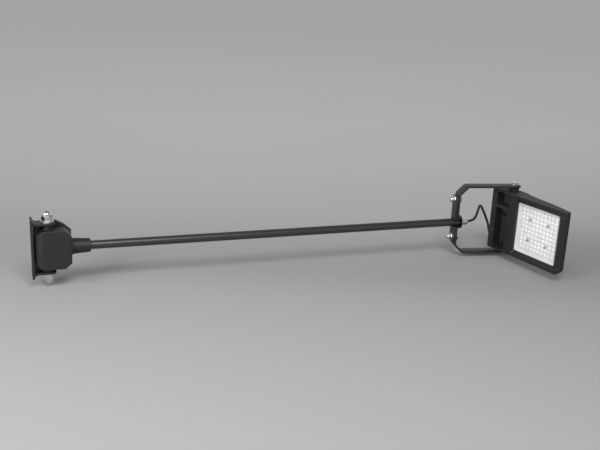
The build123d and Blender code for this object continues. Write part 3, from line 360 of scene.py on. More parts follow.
@dataclass(frozen=True)
class PowderCoat:
    """Baked powder paint: a fine leathery skin with a soft sheen."""

    level: float
    roughness: float
    grain_per_m: float = 650.0
    grain_depth: float = 0.00012
    tint: tuple[float, float, float] = (1.0, 1.0, 1.02)
    edge_radius: float = 0.0006
    rub: float = 0.35
    rub_lightens: float = 1.6
    shade: tuple[float, float] = (0.93, 1.05)
    shade_stops: tuple[float, float] = (0.3, 0.7)
    cloud_per_m: float = 9.0
    sheen_per_m: float = 40.0
    sheen_spread: tuple[float, float] = (-0.05, 0.06)
    relief: float = 0.5

    def material(self, name: str) -> bpy.types.Material:
        """Build the paint as a material.

        Args:
            name: name of the material.

        Returns:
            The new material.
        """
        graph = NodeGraph(name)
        cloud = graph.noise(self.cloud_per_m, detail=4.0, rough=0.6)
        shades = two_shades(self.level, self.tint, self.shade_stops, self.shade)
        rounded = graph.soft_edge(self.edge_radius)
        sound = graph.ramp(cloud, shades)
        rubbed = grey(self.level * self.rub_lightens, self.tint)
        skin = graph.worn(sound, rounded, rubbed, self.rub)
        graph.link(skin, "Color", graph.shader, "Base Color")
        patches = graph.noise(self.sheen_per_m, detail=3.0)
        low, high = self.sheen_spread
        sheen = graph.span(patches, self.roughness + low, self.roughness + high)
        graph.link(sheen, "Result", graph.shader, "Roughness")
        grain = graph.noise(self.grain_per_m, detail=3.0, rough=0.55)
        graph.bump(grain, self.grain_depth, self.relief, rounded)
        return graph.material


@dataclass(frozen=True)
class PlatedMetal:
    """Bright plated or polished metal with faint handling marks."""

    level: float
    roughness: float
    tint: tuple[float, float, float] = (1.0, 1.0, 1.0)
    shade: tuple[float, float] = (0.90, 1.0)
    shade_stops: tuple[float, float] = (0.25, 0.8)
    haze_per_m: float = 60.0
    mark_per_m: float = 260.0
    mark_depth: float = 0.00004
    sheen_times: tuple[float, float] = (0.7, 1.4)
    relief: float = 0.25
    edge_radius: float = 0.0003

    def material(self, name: str) -> bpy.types.Material:
        """Build the metal as a material.

        Args:
            name: name of the material.

        Returns:
            The new material.
        """
        graph = NodeGraph(name)
        graph.shader.inputs["Metallic"].default_value = 1.0
        haze = graph.noise(self.haze_per_m, detail=3.0)
        shades = two_shades(self.level, self.tint, self.shade_stops, self.shade)
        graph.link(graph.ramp(haze, shades), "Color", graph.shader, "Base Color")
        marks = graph.noise(self.mark_per_m, detail=4.0, rough=0.65)
        low, high = self.sheen_times
        sheen = graph.span(marks, self.roughness * low, self.roughness * high)
        graph.link(sheen, "Result", graph.shader, "Roughness")
        graph.bump(marks, self.mark_depth, self.relief, graph.soft_edge(self.edge_radius))
        return graph.material


@dataclass(frozen=True)
class Moulding:
    """Moulded rubber or plastic with a light texture."""

    level: float
    roughness: float
    grain_per_m: float = 900.0
    grain_depth: float = 0.00006
    shade: tuple[float, float] = (0.95, 1.04)
    shade_stops: tuple[float, float] = (0.3, 0.75)
    cloud_per_m: float = 25.0
    sheen_per_m: float = 70.0
    sheen_spread: tuple[float, float] = (-0.04, 0.05)
    relief: float = 0.35
    tint: tuple[float, float, float] = (1.0, 1.0, 1.0)

    def material(self, name: str) -> bpy.types.Material:
        """Build the moulding as a material.

        Args:
            name: name of the material.

        Returns:
            The new material.
        """
        graph = NodeGraph(name)
        cloud = graph.noise(self.cloud_per_m, detail=3.0)
        shades = two_shades(self.level, self.tint, self.shade_stops, self.shade)
        graph.link(graph.ramp(cloud, shades), "Color", graph.shader, "Base Color")
        patches = graph.noise(self.sheen_per_m)
        low, high = self.sheen_spread
        sheen = graph.span(patches, self.roughness + low, self.roughness + high)
        graph.link(sheen, "Result", graph.shader, "Roughness")
        graph.bump(graph.noise(self.grain_per_m), self.grain_depth, self.relief)
        return graph.material


@dataclass(frozen=True)
class WindowGlass:
    """Flat toughened glass, clear and thin."""

    clearness: float = 0.92
    roughness: float = 0.03
    haze: float = 0.04
    haze_per_m: float = 14.0
    level: float = 0.95
    tint: tuple[float, float, float] = (0.98, 1.0, 1.0)
    bending: float = 1.5

    def material(self, name: str) -> bpy.types.Material:
        """Build the glass as a faint glossy layer that is mostly see-through.

        Args:
            name: name of the material.

        Returns:
            The new material.
        """
        graph = NodeGraph(name)
        patches = graph.noise(self.haze_per_m, detail=3.0)
        shine = graph.span(patches, self.roughness, self.roughness + self.haze)
        graph.link(shine, "Result", graph.shader, "Roughness")
        graph.shader.inputs["Base Color"].default_value = grey(self.level, self.tint)
        graph.shader.inputs["IOR"].default_value = self.bending
        graph.shader.inputs["Alpha"].default_value = 1.0 - self.clearness
        graph.material.surface_render_method = "BLENDED"
        return graph.material


FINISHES: dict[Slot, PowderCoat | PlatedMetal | Moulding | WindowGlass] = {
    Slot.BRACKET_PAINT: PowderCoat(level=0.115, roughness=0.48),
    Slot.TUBE_PAINT: PowderCoat(level=0.17, roughness=0.32, grain_depth=0.00006),
    Slot.CAST_PAINT: PowderCoat(level=0.10, roughness=0.52, grain_per_m=520.0),
    Slot.LAMP_PAINT: PowderCoat(level=0.09, roughness=0.52, grain_per_m=780.0),
    Slot.BRIGHT_ZINC: PlatedMetal(level=0.80, roughness=0.28),
    Slot.POLISHED_STEEL: PlatedMetal(level=0.88, roughness=0.10),
    Slot.NICKEL_BRASS: PlatedMetal(level=0.97, roughness=0.34, tint=(1.0, 0.985, 0.94)),
    Slot.BLACK_RUBBER: Moulding(level=0.10, roughness=0.50),
    Slot.BLACK_NYLON: Moulding(level=0.13, roughness=0.45),
    Slot.GREY_NYLON: Moulding(level=0.80, roughness=0.45),
    Slot.CLEAR_GLASS: WindowGlass(),
    Slot.WHITE_LENS: Moulding(level=0.95, roughness=0.18, grain_depth=0.00002),
    Slot.BOARD_WHITE: Moulding(level=0.88, roughness=0.35, grain_depth=0.00002),
    Slot.DRIVER_CASE: PlatedMetal(level=0.70, roughness=0.42),
    Slot.GLOSS_BLACK: Moulding(level=0.09, roughness=0.14, grain_per_m=60.0, grain_depth=0.00005),
    Slot.BLACK_STEEL: PlatedMetal(level=0.42, roughness=0.28),
}


class FinishShop:
    """Makes each finish once and hands it out by slot."""

    def __init__(self) -> None:
        """Start with no finish made."""
        self.made: dict[Slot, bpy.types.Material] = {}

    def get(self, slot: Slot) -> bpy.types.Material:
        """Give the material of a slot, and make it when it is first asked for.

        Args:
            slot: slot that the record names.

        Returns:
            Its material.
        """
        if slot not in self.made:
            self.made[slot] = FINISHES[slot].material(slot.value)
        return self.made[slot]

    def dress_frame(self) -> None:
        """Give every carried-over node the finish that the record names for it."""
        for entry in frame["record"]["subparts"]:
            node = frame["nodes"][entry["node"]]
            material = self.get(Slot(entry["material_slot"]))
            for place in node.material_slots:
                place.material = material
            if not node.material_slots:
                node.data.materials.append(material)


class Piece:
    """A new piece: a mesh made in place, on an object at the origin."""

    def __init__(self, name: str) -> None:
        """Start an empty mesh for the named piece."""
        self.name = name
        self.shape = bmesh.new()

    def turn_outwards(self) -> None:
        """Turn every closed shell of the mesh so that its faces point outwards."""
        bmesh.ops.recalc_face_normals(self.shape, faces=self.shape.faces)
        left = set(self.shape.faces)
        while left:
            shell: set[bmesh.types.BMFace] = set()
            front = [left.pop()]
            while front:
                face = front.pop()
                shell.add(face)
                near = {f for e in face.edges for f in e.link_faces} & left
                left -= near
                front.extend(near)
            volume = sum(f.calc_area() * f.normal.dot(f.calc_center_median()) for f in shell)
            if volume < 0.0:
                bmesh.ops.reverse_faces(self.shape, faces=list(shell))

    def finish(self, material: bpy.types.Material, smooth_angle: float = 35.0) -> bpy.types.Object:
        """Turn the mesh into an object.

        Args:
            material: finish of the piece.
            smooth_angle: faces that meet at less than this angle, in degrees, are shaded smooth.

        Returns:
            The new object, at the origin.
        """
        bmesh.ops.remove_doubles(self.shape, verts=self.shape.verts, dist=WELD)
        self.turn_outwards()
        limit = math.radians(smooth_angle)
        for face in self.shape.faces:
            face.smooth = True
        for edge in self.shape.edges:
            edge.smooth = len(edge.link_faces) == 2 and edge.calc_face_angle(0.0) < limit
        mesh = bpy.data.meshes.new(self.name)
        self.shape.to_mesh(mesh)
        self.shape.free()
        mesh.materials.append(material)
        item = bpy.data.objects.new(self.name, mesh)
        bpy.context.scene.collection.objects.link(item)
        return item


@dataclass
class ViewPoint:
    """Camera at the photograph's place."""

    place: tuple[float, float, float] = (-0.06274, -2.05401, 0.68898)
    heading: float = 20.18
    dip: float = 17.03
    roll: float = 2.70
    lens: float = 51.05
    film: float = 36.0

    def build(self) -> None:
        """Make the camera and set it as the scene's own."""
        heading = math.radians(self.heading)
        dip = math.radians(self.dip)
        roll = math.radians(self.roll)
        flat = math.cos(dip)
        ahead = Vector((math.sin(heading) * flat, math.cos(heading) * flat, -math.sin(dip)))
        level = Vector((math.cos(heading), -math.sin(heading), 0.0))
        up = level.cross(ahead)
        right = level * math.cos(roll) + up * math.sin(roll)
        head = up * math.cos(roll) - level * math.sin(roll)
        turn = Matrix((right, head, -ahead)).transposed().to_4x4()
        data = bpy.data.cameras.new("camera")
        data.sensor_width = self.film
        data.lens = self.lens
        camera = bpy.data.objects.new("camera", data)
        camera.matrix_world = Matrix.Translation(self.place) @ turn
        bpy.context.scene.collection.objects.link(camera)
        bpy.context.scene.camera = camera
        log.info("camera stands at the photograph's place")


@dataclass(frozen=True)
class SoftLamp:
    """One square lamp with a soft box."""

    name: str
    place: tuple[float, float, float]
    size: float
    power: float


@dataclass
class Studio:
    """Floor with painted shade and light, soft lamps, and a sky that is paler low down.

    Each of the floor's tones is a distance in metres along the floor's heading, which is
    in degrees from +Y towards +X, and the grey level of the floor there. The dip from
    0.0 to 0.3 m behind the object is painted shadow, and the rise further behind is
    painted light.
    """

    floor_heading: float = 20.2
    # Painted shadow: the tones dip just behind the object; painted light: they grow paler further
    # off.
    floor_painted_shade_and_light_tones: tuple[tuple[float, float], ...] = (
        (-0.5, 0.645),
        (0.0, 0.64),
        (0.14, 0.62),
        (0.3, 0.60),
        (0.75, 0.71),
        (1.55, 0.84),
        (2.5, 0.92),
        (4.8, 0.98),
    )
    floor_size: float = 90.0
    floor_gap: float = 0.0015
    floor_roughness: float = 0.9
    sky_low: float = 0.80
    sky_high: float = 0.25
    sky_fade: tuple[float, float] = (0.05, 0.85)
    target: tuple[float, float, float] = (0.7, 0.0, 0.0)
    lamps: tuple[SoftLamp, ...] = (
        SoftLamp("key", (0.3, -1.9, 2.1), 1.0, 40.0),
        SoftLamp("side", (-1.6, -1.3, 1.2), 1.3, 48.0),
    )

    def hang(self, lamp: SoftLamp) -> None:
        """Hang one lamp so that it points at the target.

        Args:
            lamp: its place, size and power.
        """
        data = bpy.data.lights.new(lamp.name, "AREA")
        data.size = lamp.size
        data.energy = lamp.power
        item = bpy.data.objects.new(lamp.name, data)
        aim = (Vector(self.target) - Vector(lamp.place)).to_track_quat("-Z", "Y")
        item.matrix_world = Matrix.Translation(lamp.place) @ aim.to_matrix().to_4x4()
        bpy.context.scene.collection.objects.link(item)

    def floor(self, height: float) -> None:
        """Lay the floor and give it its tones of painted shade and painted light.

        Args:
            height: where it lies, in metres.
        """
        shape = bmesh.new()
        bmesh.ops.create_grid(shape, x_segments=1, y_segments=1, size=self.floor_size / 2)
        bmesh.ops.translate(shape, verts=shape.verts, vec=(self.target[0], 0.0, height))
        mesh = bpy.data.meshes.new("floor")
        shape.to_mesh(mesh)
        shape.free()
        graph = NodeGraph("floor_painted_shade_and_light")
        heading = math.radians(self.floor_heading)
        away = graph.add("ShaderNodeVectorMath", operation="DOT_PRODUCT")
        away.inputs[1].default_value = (math.sin(heading), math.cos(heading), 0.0)
        graph.link(graph.place, "Object", away, 0)
        near, far = self.floor_painted_shade_and_light_tones[0][0], self.floor_painted_shade_and_light_tones[-1][0]
        reach = graph.add("ShaderNodeMapRange")
        reach.inputs["From Min"].default_value = near
        reach.inputs["From Max"].default_value = far
        graph.link(away, "Value", reach, "Value")
        # Painted shade and light along the floor's heading
        stops = [((where - near) / (far - near), grey(tone)) for where, tone in self.floor_painted_shade_and_light_tones]
        tone = graph.ramp(reach, stops, "Result", "B_SPLINE")
        graph.link(tone, "Color", graph.shader, "Base Color")
        graph.shader.inputs["Roughness"].default_value = self.floor_roughness
        mesh.materials.append(graph.material)
        item = bpy.data.objects.new("floor", mesh)
        bpy.context.scene.collection.objects.link(item)
        item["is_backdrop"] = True

    def sky(self) -> None:
        """Light everything from all round, more from low down than from above."""
        world = bpy.data.worlds.new("sky")
        world.use_nodes = True
        tree = world.node_tree
        place = tree.nodes.new("ShaderNodeTexCoord")
        split = tree.nodes.new("ShaderNodeSeparateXYZ")
        fade = tree.nodes.new("ShaderNodeMapRange")
        fade.interpolation_type = "SMOOTHSTEP"
        fade.inputs["From Min"].default_value = self.sky_fade[0]
        fade.inputs["From Max"].default_value = self.sky_fade[1]
        fade.inputs["To Min"].default_value = self.sky_low
        fade.inputs["To Max"].default_value = self.sky_high
        tree.links.new(place.outputs["Generated"], split.inputs["Vector"])
        tree.links.new(split.outputs["Z"], fade.inputs["Value"])
        tree.links.new(fade.outputs["Result"], tree.nodes["Background"].inputs["Strength"])
        tree.nodes["Background"].inputs["Color"].default_value = (1.0, 1.0, 1.0, 1.0)
        bpy.context.scene.world = world

    def build(self, lowest: float) -> None:
        """Set up the whole studio under the object.

        Args:
            lowest: height of the object's lowest point, in metres.
        """
        self.sky()
        self.floor(lowest - self.floor_gap)
        for lamp in self.lamps:
            self.hang(lamp)
        bpy.context.scene.view_settings.view_transform = "Standard"


@dataclass
class LampPlane:
    """The lamp's own axes: u along it, up, and n out of its front."""

    turn: float = -79.3
    pivot: tuple[float, float, float] = (1331.341, -30.388, 10.0)

    def u(self) -> Vector:
        """Direction along the lamp, towards its near end."""
        angle = math.radians(self.turn)
        return Vector((math.cos(angle), math.sin(angle), 0.0))

    def n(self) -> Vector:
        """Direction out of the lamp's front."""
        angle = math.radians(self.turn)
        return Vector((math.sin(angle), -math.cos(angle), 0.0))

    def matrix(self) -> Matrix:
        """Matrix from lamp millimetres to metres in the shared frame."""
        axes = Matrix((self.u(), (0.0, 0.0, 1.0), self.n())).transposed().to_4x4()
        return Matrix.Translation(Vector(self.pivot) * MM) @ axes @ Matrix.Scale(MM, 4)


@dataclass
class YokePlane:
    """The yoke's own axes: x along its arms, y across the strap, z up."""

    turn: float = -10.0
    origin: tuple[float, float, float] = (1159.0, 0.0, 10.0)

    def matrix(self) -> Matrix:
        """Matrix from yoke millimetres to metres in the shared frame."""
        turn = Matrix.Rotation(math.radians(self.turn), 4, "Z")
        return Matrix.Translation(Vector(self.origin) * MM) @ turn @ Matrix.Scale(MM, 4)


@dataclass
class Yoke:
    """Bent strap and end plate, both slotted so that the tube's end lies in their front.

    Neither has holes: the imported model's bolts and bushes run on inside the metal.
    """

    plane: YokePlane = field(default_factory=YokePlane)
    width: float = 36.0
    strap_thick: float = 5.0
    plate_thick: float = 6.0
    half_height: float = 100.0
    corner: float = 25.0
    bend_radius: float = 12.0
    bend_half_turn: float = 22.5
    bend_steps: int = 4
    arm_tip: float = 193.0
    tip_radius: float = 17.9
    tip_steps: int = 8
    plate_top: float = 68.0
    plate_bottom: float = -67.5
    plate_corner: float = 6.0
    plate_corner_steps: int = 5
    slot: tuple[float, float] = (-21.3, 1.3)
    edge: float = 0.6
    sharp_angle: float = 50.0
    bend_angle: float = 20.0

    def sheet(
        self, shape: bmesh.types.BMesh, stations: list[tuple[float, float]]
    ) -> list[list[bmesh.types.BMVert]]:
        """Draw a thin sheet across the strap's width through a row of stations.

        Args:
            shape: mesh to draw in, in yoke millimetres.
            stations: x and z of each station along the strap.

        Returns:
            The front, middle and back vertex of each station.
        """
        half = self.width / 2
        x, z = stations[0]
        row = [shape.verts.new((x, y, z)) for y in (-half, 0.0, half)]
        rows = [row]
        edges = [shape.edges.new(row[:2]), shape.edges.new(row[1:])]
        for (x0, z0), (x1, z1) in zip(stations, stations[1:]):
            made = bmesh.ops.extrude_edge_only(shape, edges=edges)["geom"]
            verts = [g for g in made if isinstance(g, bmesh.types.BMVert)]
            edges = [g for g in made if isinstance(g, bmesh.types.BMEdge)]
            edges = [e for e in edges if e.verts[0] in verts and e.verts[1] in verts]
            bmesh.ops.translate(shape, verts=verts, vec=(x1 - x0, 0.0, z1 - z0))
            rows.append(sorted(verts, key=lambda v: v.co.y))
        return rows

    def cut_slot(self, shape: bmesh.types.BMesh, low: float, high: float) -> None:
        """Take away the front of the sheet between two heights, for the tube.

        Args:
            shape: mesh of the sheet, in yoke millimetres.
            low: height of the lower end of the slot.
            high: height of its upper end.
        """
        gone = []
        for face in shape.faces:
            middle = face.calc_center_median()
            if middle.y < 0.0 and low < middle.z < high:
                gone.append(face)
        bmesh.ops.delete(shape, geom=gone, context="FACES")

    def edges_past(self, shape: bmesh.types.BMesh, angle: float) -> list[bmesh.types.BMEdge]:
        """Find the edges whose faces meet at more than an angle in degrees."""
        limit = math.radians(angle)
        return [e for e in shape.edges if e.is_manifold and e.calc_face_angle() > limit]

    def thicken(self, shape: bmesh.types.BMesh, thickness: float) -> None:
        """Give the sheet its thickness and break its sharp edges.

        Args:
            shape: mesh of the sheet, in yoke millimetres.
            thickness: thickness of the metal.
        """
        bmesh.ops.recalc_face_normals(shape, faces=shape.faces)
        bmesh.ops.solidify(shape, geom=list(shape.faces), thickness=thickness)
        bmesh.ops.recalc_face_normals(shape, faces=shape.faces)
        round_off(shape, self.edges_past(shape, self.sharp_angle), self.edge, clamp=True)

    def strap(self, shop: FinishShop) -> bpy.types.Object:
        """Make the bent strap.

        Args:
            shop: where its finish comes from.

        Returns:
            Its object.
        """
        piece = Piece("yoke_strap")
        shape = piece.shape
        web, top = self.plate_thick, self.half_height
        low, high = self.slot
        stations = [
            (self.arm_tip, -top),
            (web + self.corner, -top),
            (web, -top + self.corner),
            (web, low),
            (web, high),
            (web, top - self.corner),
            (web + self.corner, top),
            (self.arm_tip, top),
        ]
        rows = self.sheet(shape, stations)
        self.cut_slot(shape, low, high)
        tips = [row[i] for row in (rows[0], rows[-1]) for i in (0, 2)]
        round_off(shape, tips, self.tip_radius, self.tip_steps, "VERTICES")
        reach = self.bend_radius * math.tan(math.radians(self.bend_half_turn))
        round_off(shape, self.edges_past(shape, self.bend_angle), reach, self.bend_steps)
        self.thicken(shape, self.strap_thick)
        return self.place(piece, shop, "yoke")

    def end_plate(self, shop: FinishShop) -> bpy.types.Object:
        """Make the plate that the tube's end is welded to.

        Args:
            shop: where its finish comes from.

        Returns:
            Its object.
        """
        piece = Piece("tube_end_plate")
        shape = piece.shape
        low, high = self.slot
        heights = (self.plate_bottom, low, high, self.plate_top)
        rows = self.sheet(shape, [(0.0, z) for z in heights])
        self.cut_slot(shape, low, high)
        corners = [row[i] for row in (rows[0], rows[-1]) for i in (0, 2)]
        round_off(shape, corners, self.plate_corner, self.plate_corner_steps, "VERTICES")
        self.thicken(shape, self.plate_thick)
        return self.place(piece, shop, "end_plate")

    def place(self, piece: Piece, shop: FinishShop, node: str) -> bpy.types.Object:
        """Put a finished strap or plate where its node is.

        Args:
            piece: mesh in yoke millimetres.
            shop: where its finish comes from.
            node: the node that it stands for.

        Returns:
            Its object.
        """
        reach = [vert.co.x for vert in piece.shape.verts]
        log.info("%s runs from %.1f to %.1f mm", piece.name, min(reach), max(reach))
        bmesh.ops.transform(piece.shape, matrix=self.plane.matrix(), verts=piece.shape.verts)
        item = piece.finish(shop.get(Slot.BRACKET_PAINT), smooth_angle=32.0)
        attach(item, Body.ARM.value)
        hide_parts(node)
        return item


@dataclass
class TubeEnd:
    """Last stretch of the tube, in the slot of the yoke, and the split collar round it.

    The stretch is a solid rod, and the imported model's cable runs on inside it.
    """

    plane: YokePlane = field(default_factory=YokePlane)
    tube_radius: float = 11.05
    tube_from: float = 1150.0
    tube_to: float = 1181.3
    collar_radius: float = 19.5
    collar_from: float = 11.2
    collar_to: float = 1182.0
    slot_half: float = 11.3
    chamfer: float = 1.0
    tube_rim: float = 0.8
    sides: int = 48

    def tube(self, shop: FinishShop) -> bpy.types.Object:
        """Make the tube's last stretch.

        Args:
            shop: where its finish comes from.

        Returns:
            Its object.
        """
        piece = Piece("tube_end")
        length = self.tube_to - self.tube_from
        middle = (self.tube_from + self.tube_to) / 2
        bmesh.ops.create_cone(
            piece.shape,
            cap_ends=True,
            segments=self.sides,
            radius1=self.tube_radius,
            radius2=self.tube_radius,
            depth=length,
            matrix=Matrix.Translation((middle, 0.0, 0.0)) @ Matrix.Rotation(math.pi / 2, 4, "Y"),
        )
        rim = self.edges_at(piece.shape, self.tube_to)
        round_off(piece.shape, rim, self.tube_rim)
        return self.place(piece, shop)

    def edges_at(self, shape: bmesh.types.BMesh, x: float) -> list[bmesh.types.BMEdge]:
        """Find the edges of the flat end at x, in millimetres."""
        return [e for e in shape.edges if all(v.co.x > x - NEAR for v in e.verts)]

    def collar(self, shop: FinishShop) -> bpy.types.Object:
        """Make the collar, open at the front where the tube lies.

        Args:
            shop: where its finish comes from.

        Returns:
            Its object.
        """
        piece = Piece("split_collar")
        shape = piece.shape
        start = self.collar_to - 2 * self.collar_radius
        upright = Matrix.Translation((start, 0.0, 0.0)) @ Matrix.Rotation(math.pi / 2, 4, "Y")
        bmesh.ops.create_circle(
            shape, cap_ends=True, segments=self.sides, radius=self.collar_radius, matrix=upright
        )
        cuts = (
            ((0, 0, self.slot_half), (0, 0, 1)),
            ((0, 0, -self.slot_half), (0, 0, 1)),
            ((0, 0, 0), (0, 1, 0)),
        )
        for spot, way in cuts:
            geom = [*shape.verts, *shape.edges, *shape.faces]
            bmesh.ops.bisect_plane(shape, geom=geom, plane_co=spot, plane_no=way)
        gone = []
        for face in shape.faces:
            middle = face.calc_center_median()
            if middle.y < 0.0 and abs(middle.z) < self.slot_half:
                gone.append(face)
        bmesh.ops.delete(shape, geom=gone, context="FACES")
        made = bmesh.ops.extrude_face_region(
            shape, geom=list(shape.faces), use_keep_orig=True
        )
        verts = [g for g in made["geom"] if isinstance(g, bmesh.types.BMVert)]
        bmesh.ops.translate(shape, verts=verts, vec=(self.collar_to - start, 0.0, 0.0))
        turn = math.radians(self.plane.turn)
        along = Vector((math.cos(turn), math.sin(turn), 0.0))
        spot = Vector(self.plane.origin) + along * self.collar_from
        geom = [*shape.verts, *shape.edges, *shape.faces]
        cut = bmesh.ops.bisect_plane(
            shape, geom=geom, plane_co=spot, plane_no=-along, clear_outer=True
        )
        rim = [g for g in cut["geom_cut"] if isinstance(g, bmesh.types.BMEdge)]
        bmesh.ops.holes_fill(shape, edges=rim)
        bmesh.ops.dissolve_limit(shape, angle_limit=NEAR, verts=shape.verts, edges=shape.edges)
        round_off(shape, self.edges_at(shape, self.collar_to), self.chamfer)
        item = self.place(piece, shop)
        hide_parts("end_collar")
        return item

    def place(self, piece: Piece, shop: FinishShop) -> bpy.types.Object:
        """Turn a mesh in millimetres into an object that rides on the arm.

        Args:
            piece: mesh in millimetres of the shared frame.
            shop: where its finish comes from.

        Returns:
            Its object.
        """
        bmesh.ops.scale(piece.shape, verts=piece.shape.verts, vec=(MM, MM, MM))
        item = piece.finish(shop.get(Slot.TUBE_PAINT), smooth_angle=32.0)
        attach(item, Body.ARM.value)
        log.info("%s is in place", piece.name)
        return item


@dataclass
class AcornNut:
    """Domed nut, solid throughout: chamfered hexagon, short neck and high dome."""

    flats: float
    hex_height: float
    dome_radius: float
    dome_height: float
    neck: float
    chamfer: float = 0.1
    crowning: float = 0.05
    dome_sunk: float = 0.3
    rim_width: float = 0.4
    flat_end: float = 0.9
    sides: int = 36
    rings: int = 20

    def make(self, shape: bmesh.types.BMesh, place: Matrix) -> None:
        """Add one nut that stands on its place's origin and points along its Z.

        Args:
            shape: mesh to add it to.
            place: where it stands, from millimetres to the mesh's own unit.
        """
        before = set(shape.verts)
        corner = self.flats / math.sqrt(3.0)
        bmesh.ops.create_cone(
            shape,
            cap_ends=True,
            segments=6,
            radius1=corner,
            radius2=corner,
            depth=self.hex_height,
            matrix=Matrix.Translation((0.0, 0.0, self.hex_height / 2)),
        )
        new_faces = [f for f in shape.faces if not before & set(f.verts)]
        ends = [f for f in new_faces if abs(f.normal.z) > self.flat_end]
        crowned = corner * self.crowning
        bmesh.ops.inset_region(
            shape, faces=ends, thickness=corner * self.chamfer, depth=crowned
        )
        ball = bmesh.ops.create_uvsphere(
            shape, u_segments=self.sides, v_segments=self.rings, radius=self.dome_radius
        )["verts"]
        flatten = (1.0, 1.0, self.dome_height / self.dome_radius)
        bmesh.ops.scale(shape, verts=ball, vec=flatten)
        geom = {g for v in ball for g in (v, *v.link_edges, *v.link_faces)}
        bmesh.ops.bisect_plane(
            shape, geom=list(geom), plane_co=(0, 0, 0), plane_no=(0, 0, -1), clear_outer=True
        )
        rim = [e for e in shape.edges if e.is_boundary]
        bmesh.ops.holes_fill(shape, edges=rim)
        inside = self.dome_radius - self.rim_width
        made = [v for v in shape.verts if v not in before]
        foot = [v for v in made if abs(v.co.z) < SAME and v.co.xy.length > inside]
        crown = [v for v in ball if v.is_valid and v.co.z > SAME]
        seat = self.hex_height + crowned - self.dome_sunk
        bmesh.ops.translate(shape, verts=foot, vec=(0.0, 0.0, seat))
        bmesh.ops.translate(shape, verts=crown, vec=(0.0, 0.0, seat + self.neck))
        bmesh.ops.transform(shape, matrix=place, verts=made)


@dataclass
class AcornNuts:
    """The two nuts on the pivot rod and the two on the yoke's bolts."""

    pivot: AcornNut = field(
        default_factory=lambda: AcornNut(
            flats=24.0, hex_height=12.0, dome_radius=11.4, dome_height=10.4, neck=3.2
        )
    )
    pivot_x: float = 40.0
    pivot_seat: float = 68.0
    yoke: AcornNut = field(
        default_factory=lambda: AcornNut(
            flats=17.0, hex_height=6.0, dome_radius=8.0, dome_height=5.4, neck=1.8
        )
    )
    yoke_seat: float = -2.0
    yoke_heights: tuple[float, float] = (57.5, -52.5)
    point_up: float = 30.0
    plane: YokePlane = field(default_factory=YokePlane)

    def build(self, shop: FinishShop) -> None:
        """Make all four nuts.

        Args:
            shop: where their finish comes from.
        """
        on_rod = Piece("pivot_nuts")
        for side in (1, -1):
            turn = Matrix.Identity(4) if side > 0 else Matrix.Rotation(math.pi, 4, "X")
            spin = Matrix.Rotation(math.radians(self.point_up), 4, "Z")
            place = Matrix.Translation((self.pivot_x, 0.0, side * self.pivot_seat)) @ turn @ spin
            self.pivot.make(on_rod.shape, Matrix.Scale(MM, 4) @ place)
        self.dress(on_rod, shop, Body.BRACKET, "pivot_acorn_nuts")
        on_yoke = Piece("yoke_nuts")
        for height in self.yoke_heights:
            place = Matrix.Translation((self.yoke_seat, 0.0, height))
            turn = Matrix.Rotation(-math.pi / 2, 4, "Y")
            self.yoke.make(on_yoke.shape, self.plane.matrix() @ place @ turn)
        self.dress(on_yoke, shop, Body.ARM, "yoke_acorn_nuts")

    def dress(self, piece: Piece, shop: FinishShop, body: Body, node: str) -> None:
        """Finish a pair of nuts and put them in their node's place.

        Args:
            piece: mesh of both nuts, in metres.
            shop: where their finish comes from.
            body: body that they ride on.
            node: node that they stand for.
        """
        item = piece.finish(shop.get(Slot.POLISHED_STEEL), smooth_angle=28.0)
        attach(item, body.value)
        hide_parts(node)
        log.info("%s are in place", piece.name)


@dataclass
class HubWeb:
    """Cast webs that close the knuckle's cut corners behind the two pivot bosses."""

    left: tuple[float, float] = (5.95, 6.95)
    right: float = 22.0
    depth: tuple[float, float] = (0.2, 8.2)
    heights: tuple[float, float] = (30.0, 58.2)

    def build(self, shop: FinishShop) -> None:
        """Make both webs.

        Args:
            shop: where their finish comes from.
        """
        piece = Piece("hub_webs")
        front, behind = self.depth
        low, high = self.heights
        for side in (1, -1):
            made = bmesh.ops.create_cube(piece.shape, size=1.0)["verts"]
            size = (self.right - self.left[0], behind - front, high - low)
            middle = (self.right + self.left[0]) / 2
            centre = (middle, (front + behind) / 2, side * (low + high) / 2)
            bmesh.ops.scale(piece.shape, verts=made, vec=size)
            bmesh.ops.translate(piece.shape, verts=made, vec=centre)
            near, back = self.left[0] + NEAR, front + NEAR
            inward = [v for v in made if v.co.x < near and v.co.y > back]
            shift = (self.left[1] - self.left[0], 0.0, 0.0)
            bmesh.ops.translate(piece.shape, verts=inward, vec=shift)
        bmesh.ops.scale(piece.shape, verts=piece.shape.verts, vec=(MM, MM, MM))
        item = piece.finish(shop.get(Slot.CAST_PAINT))
        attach(item, Body.ARM.value)
        log.info("hub webs close both cut corners")


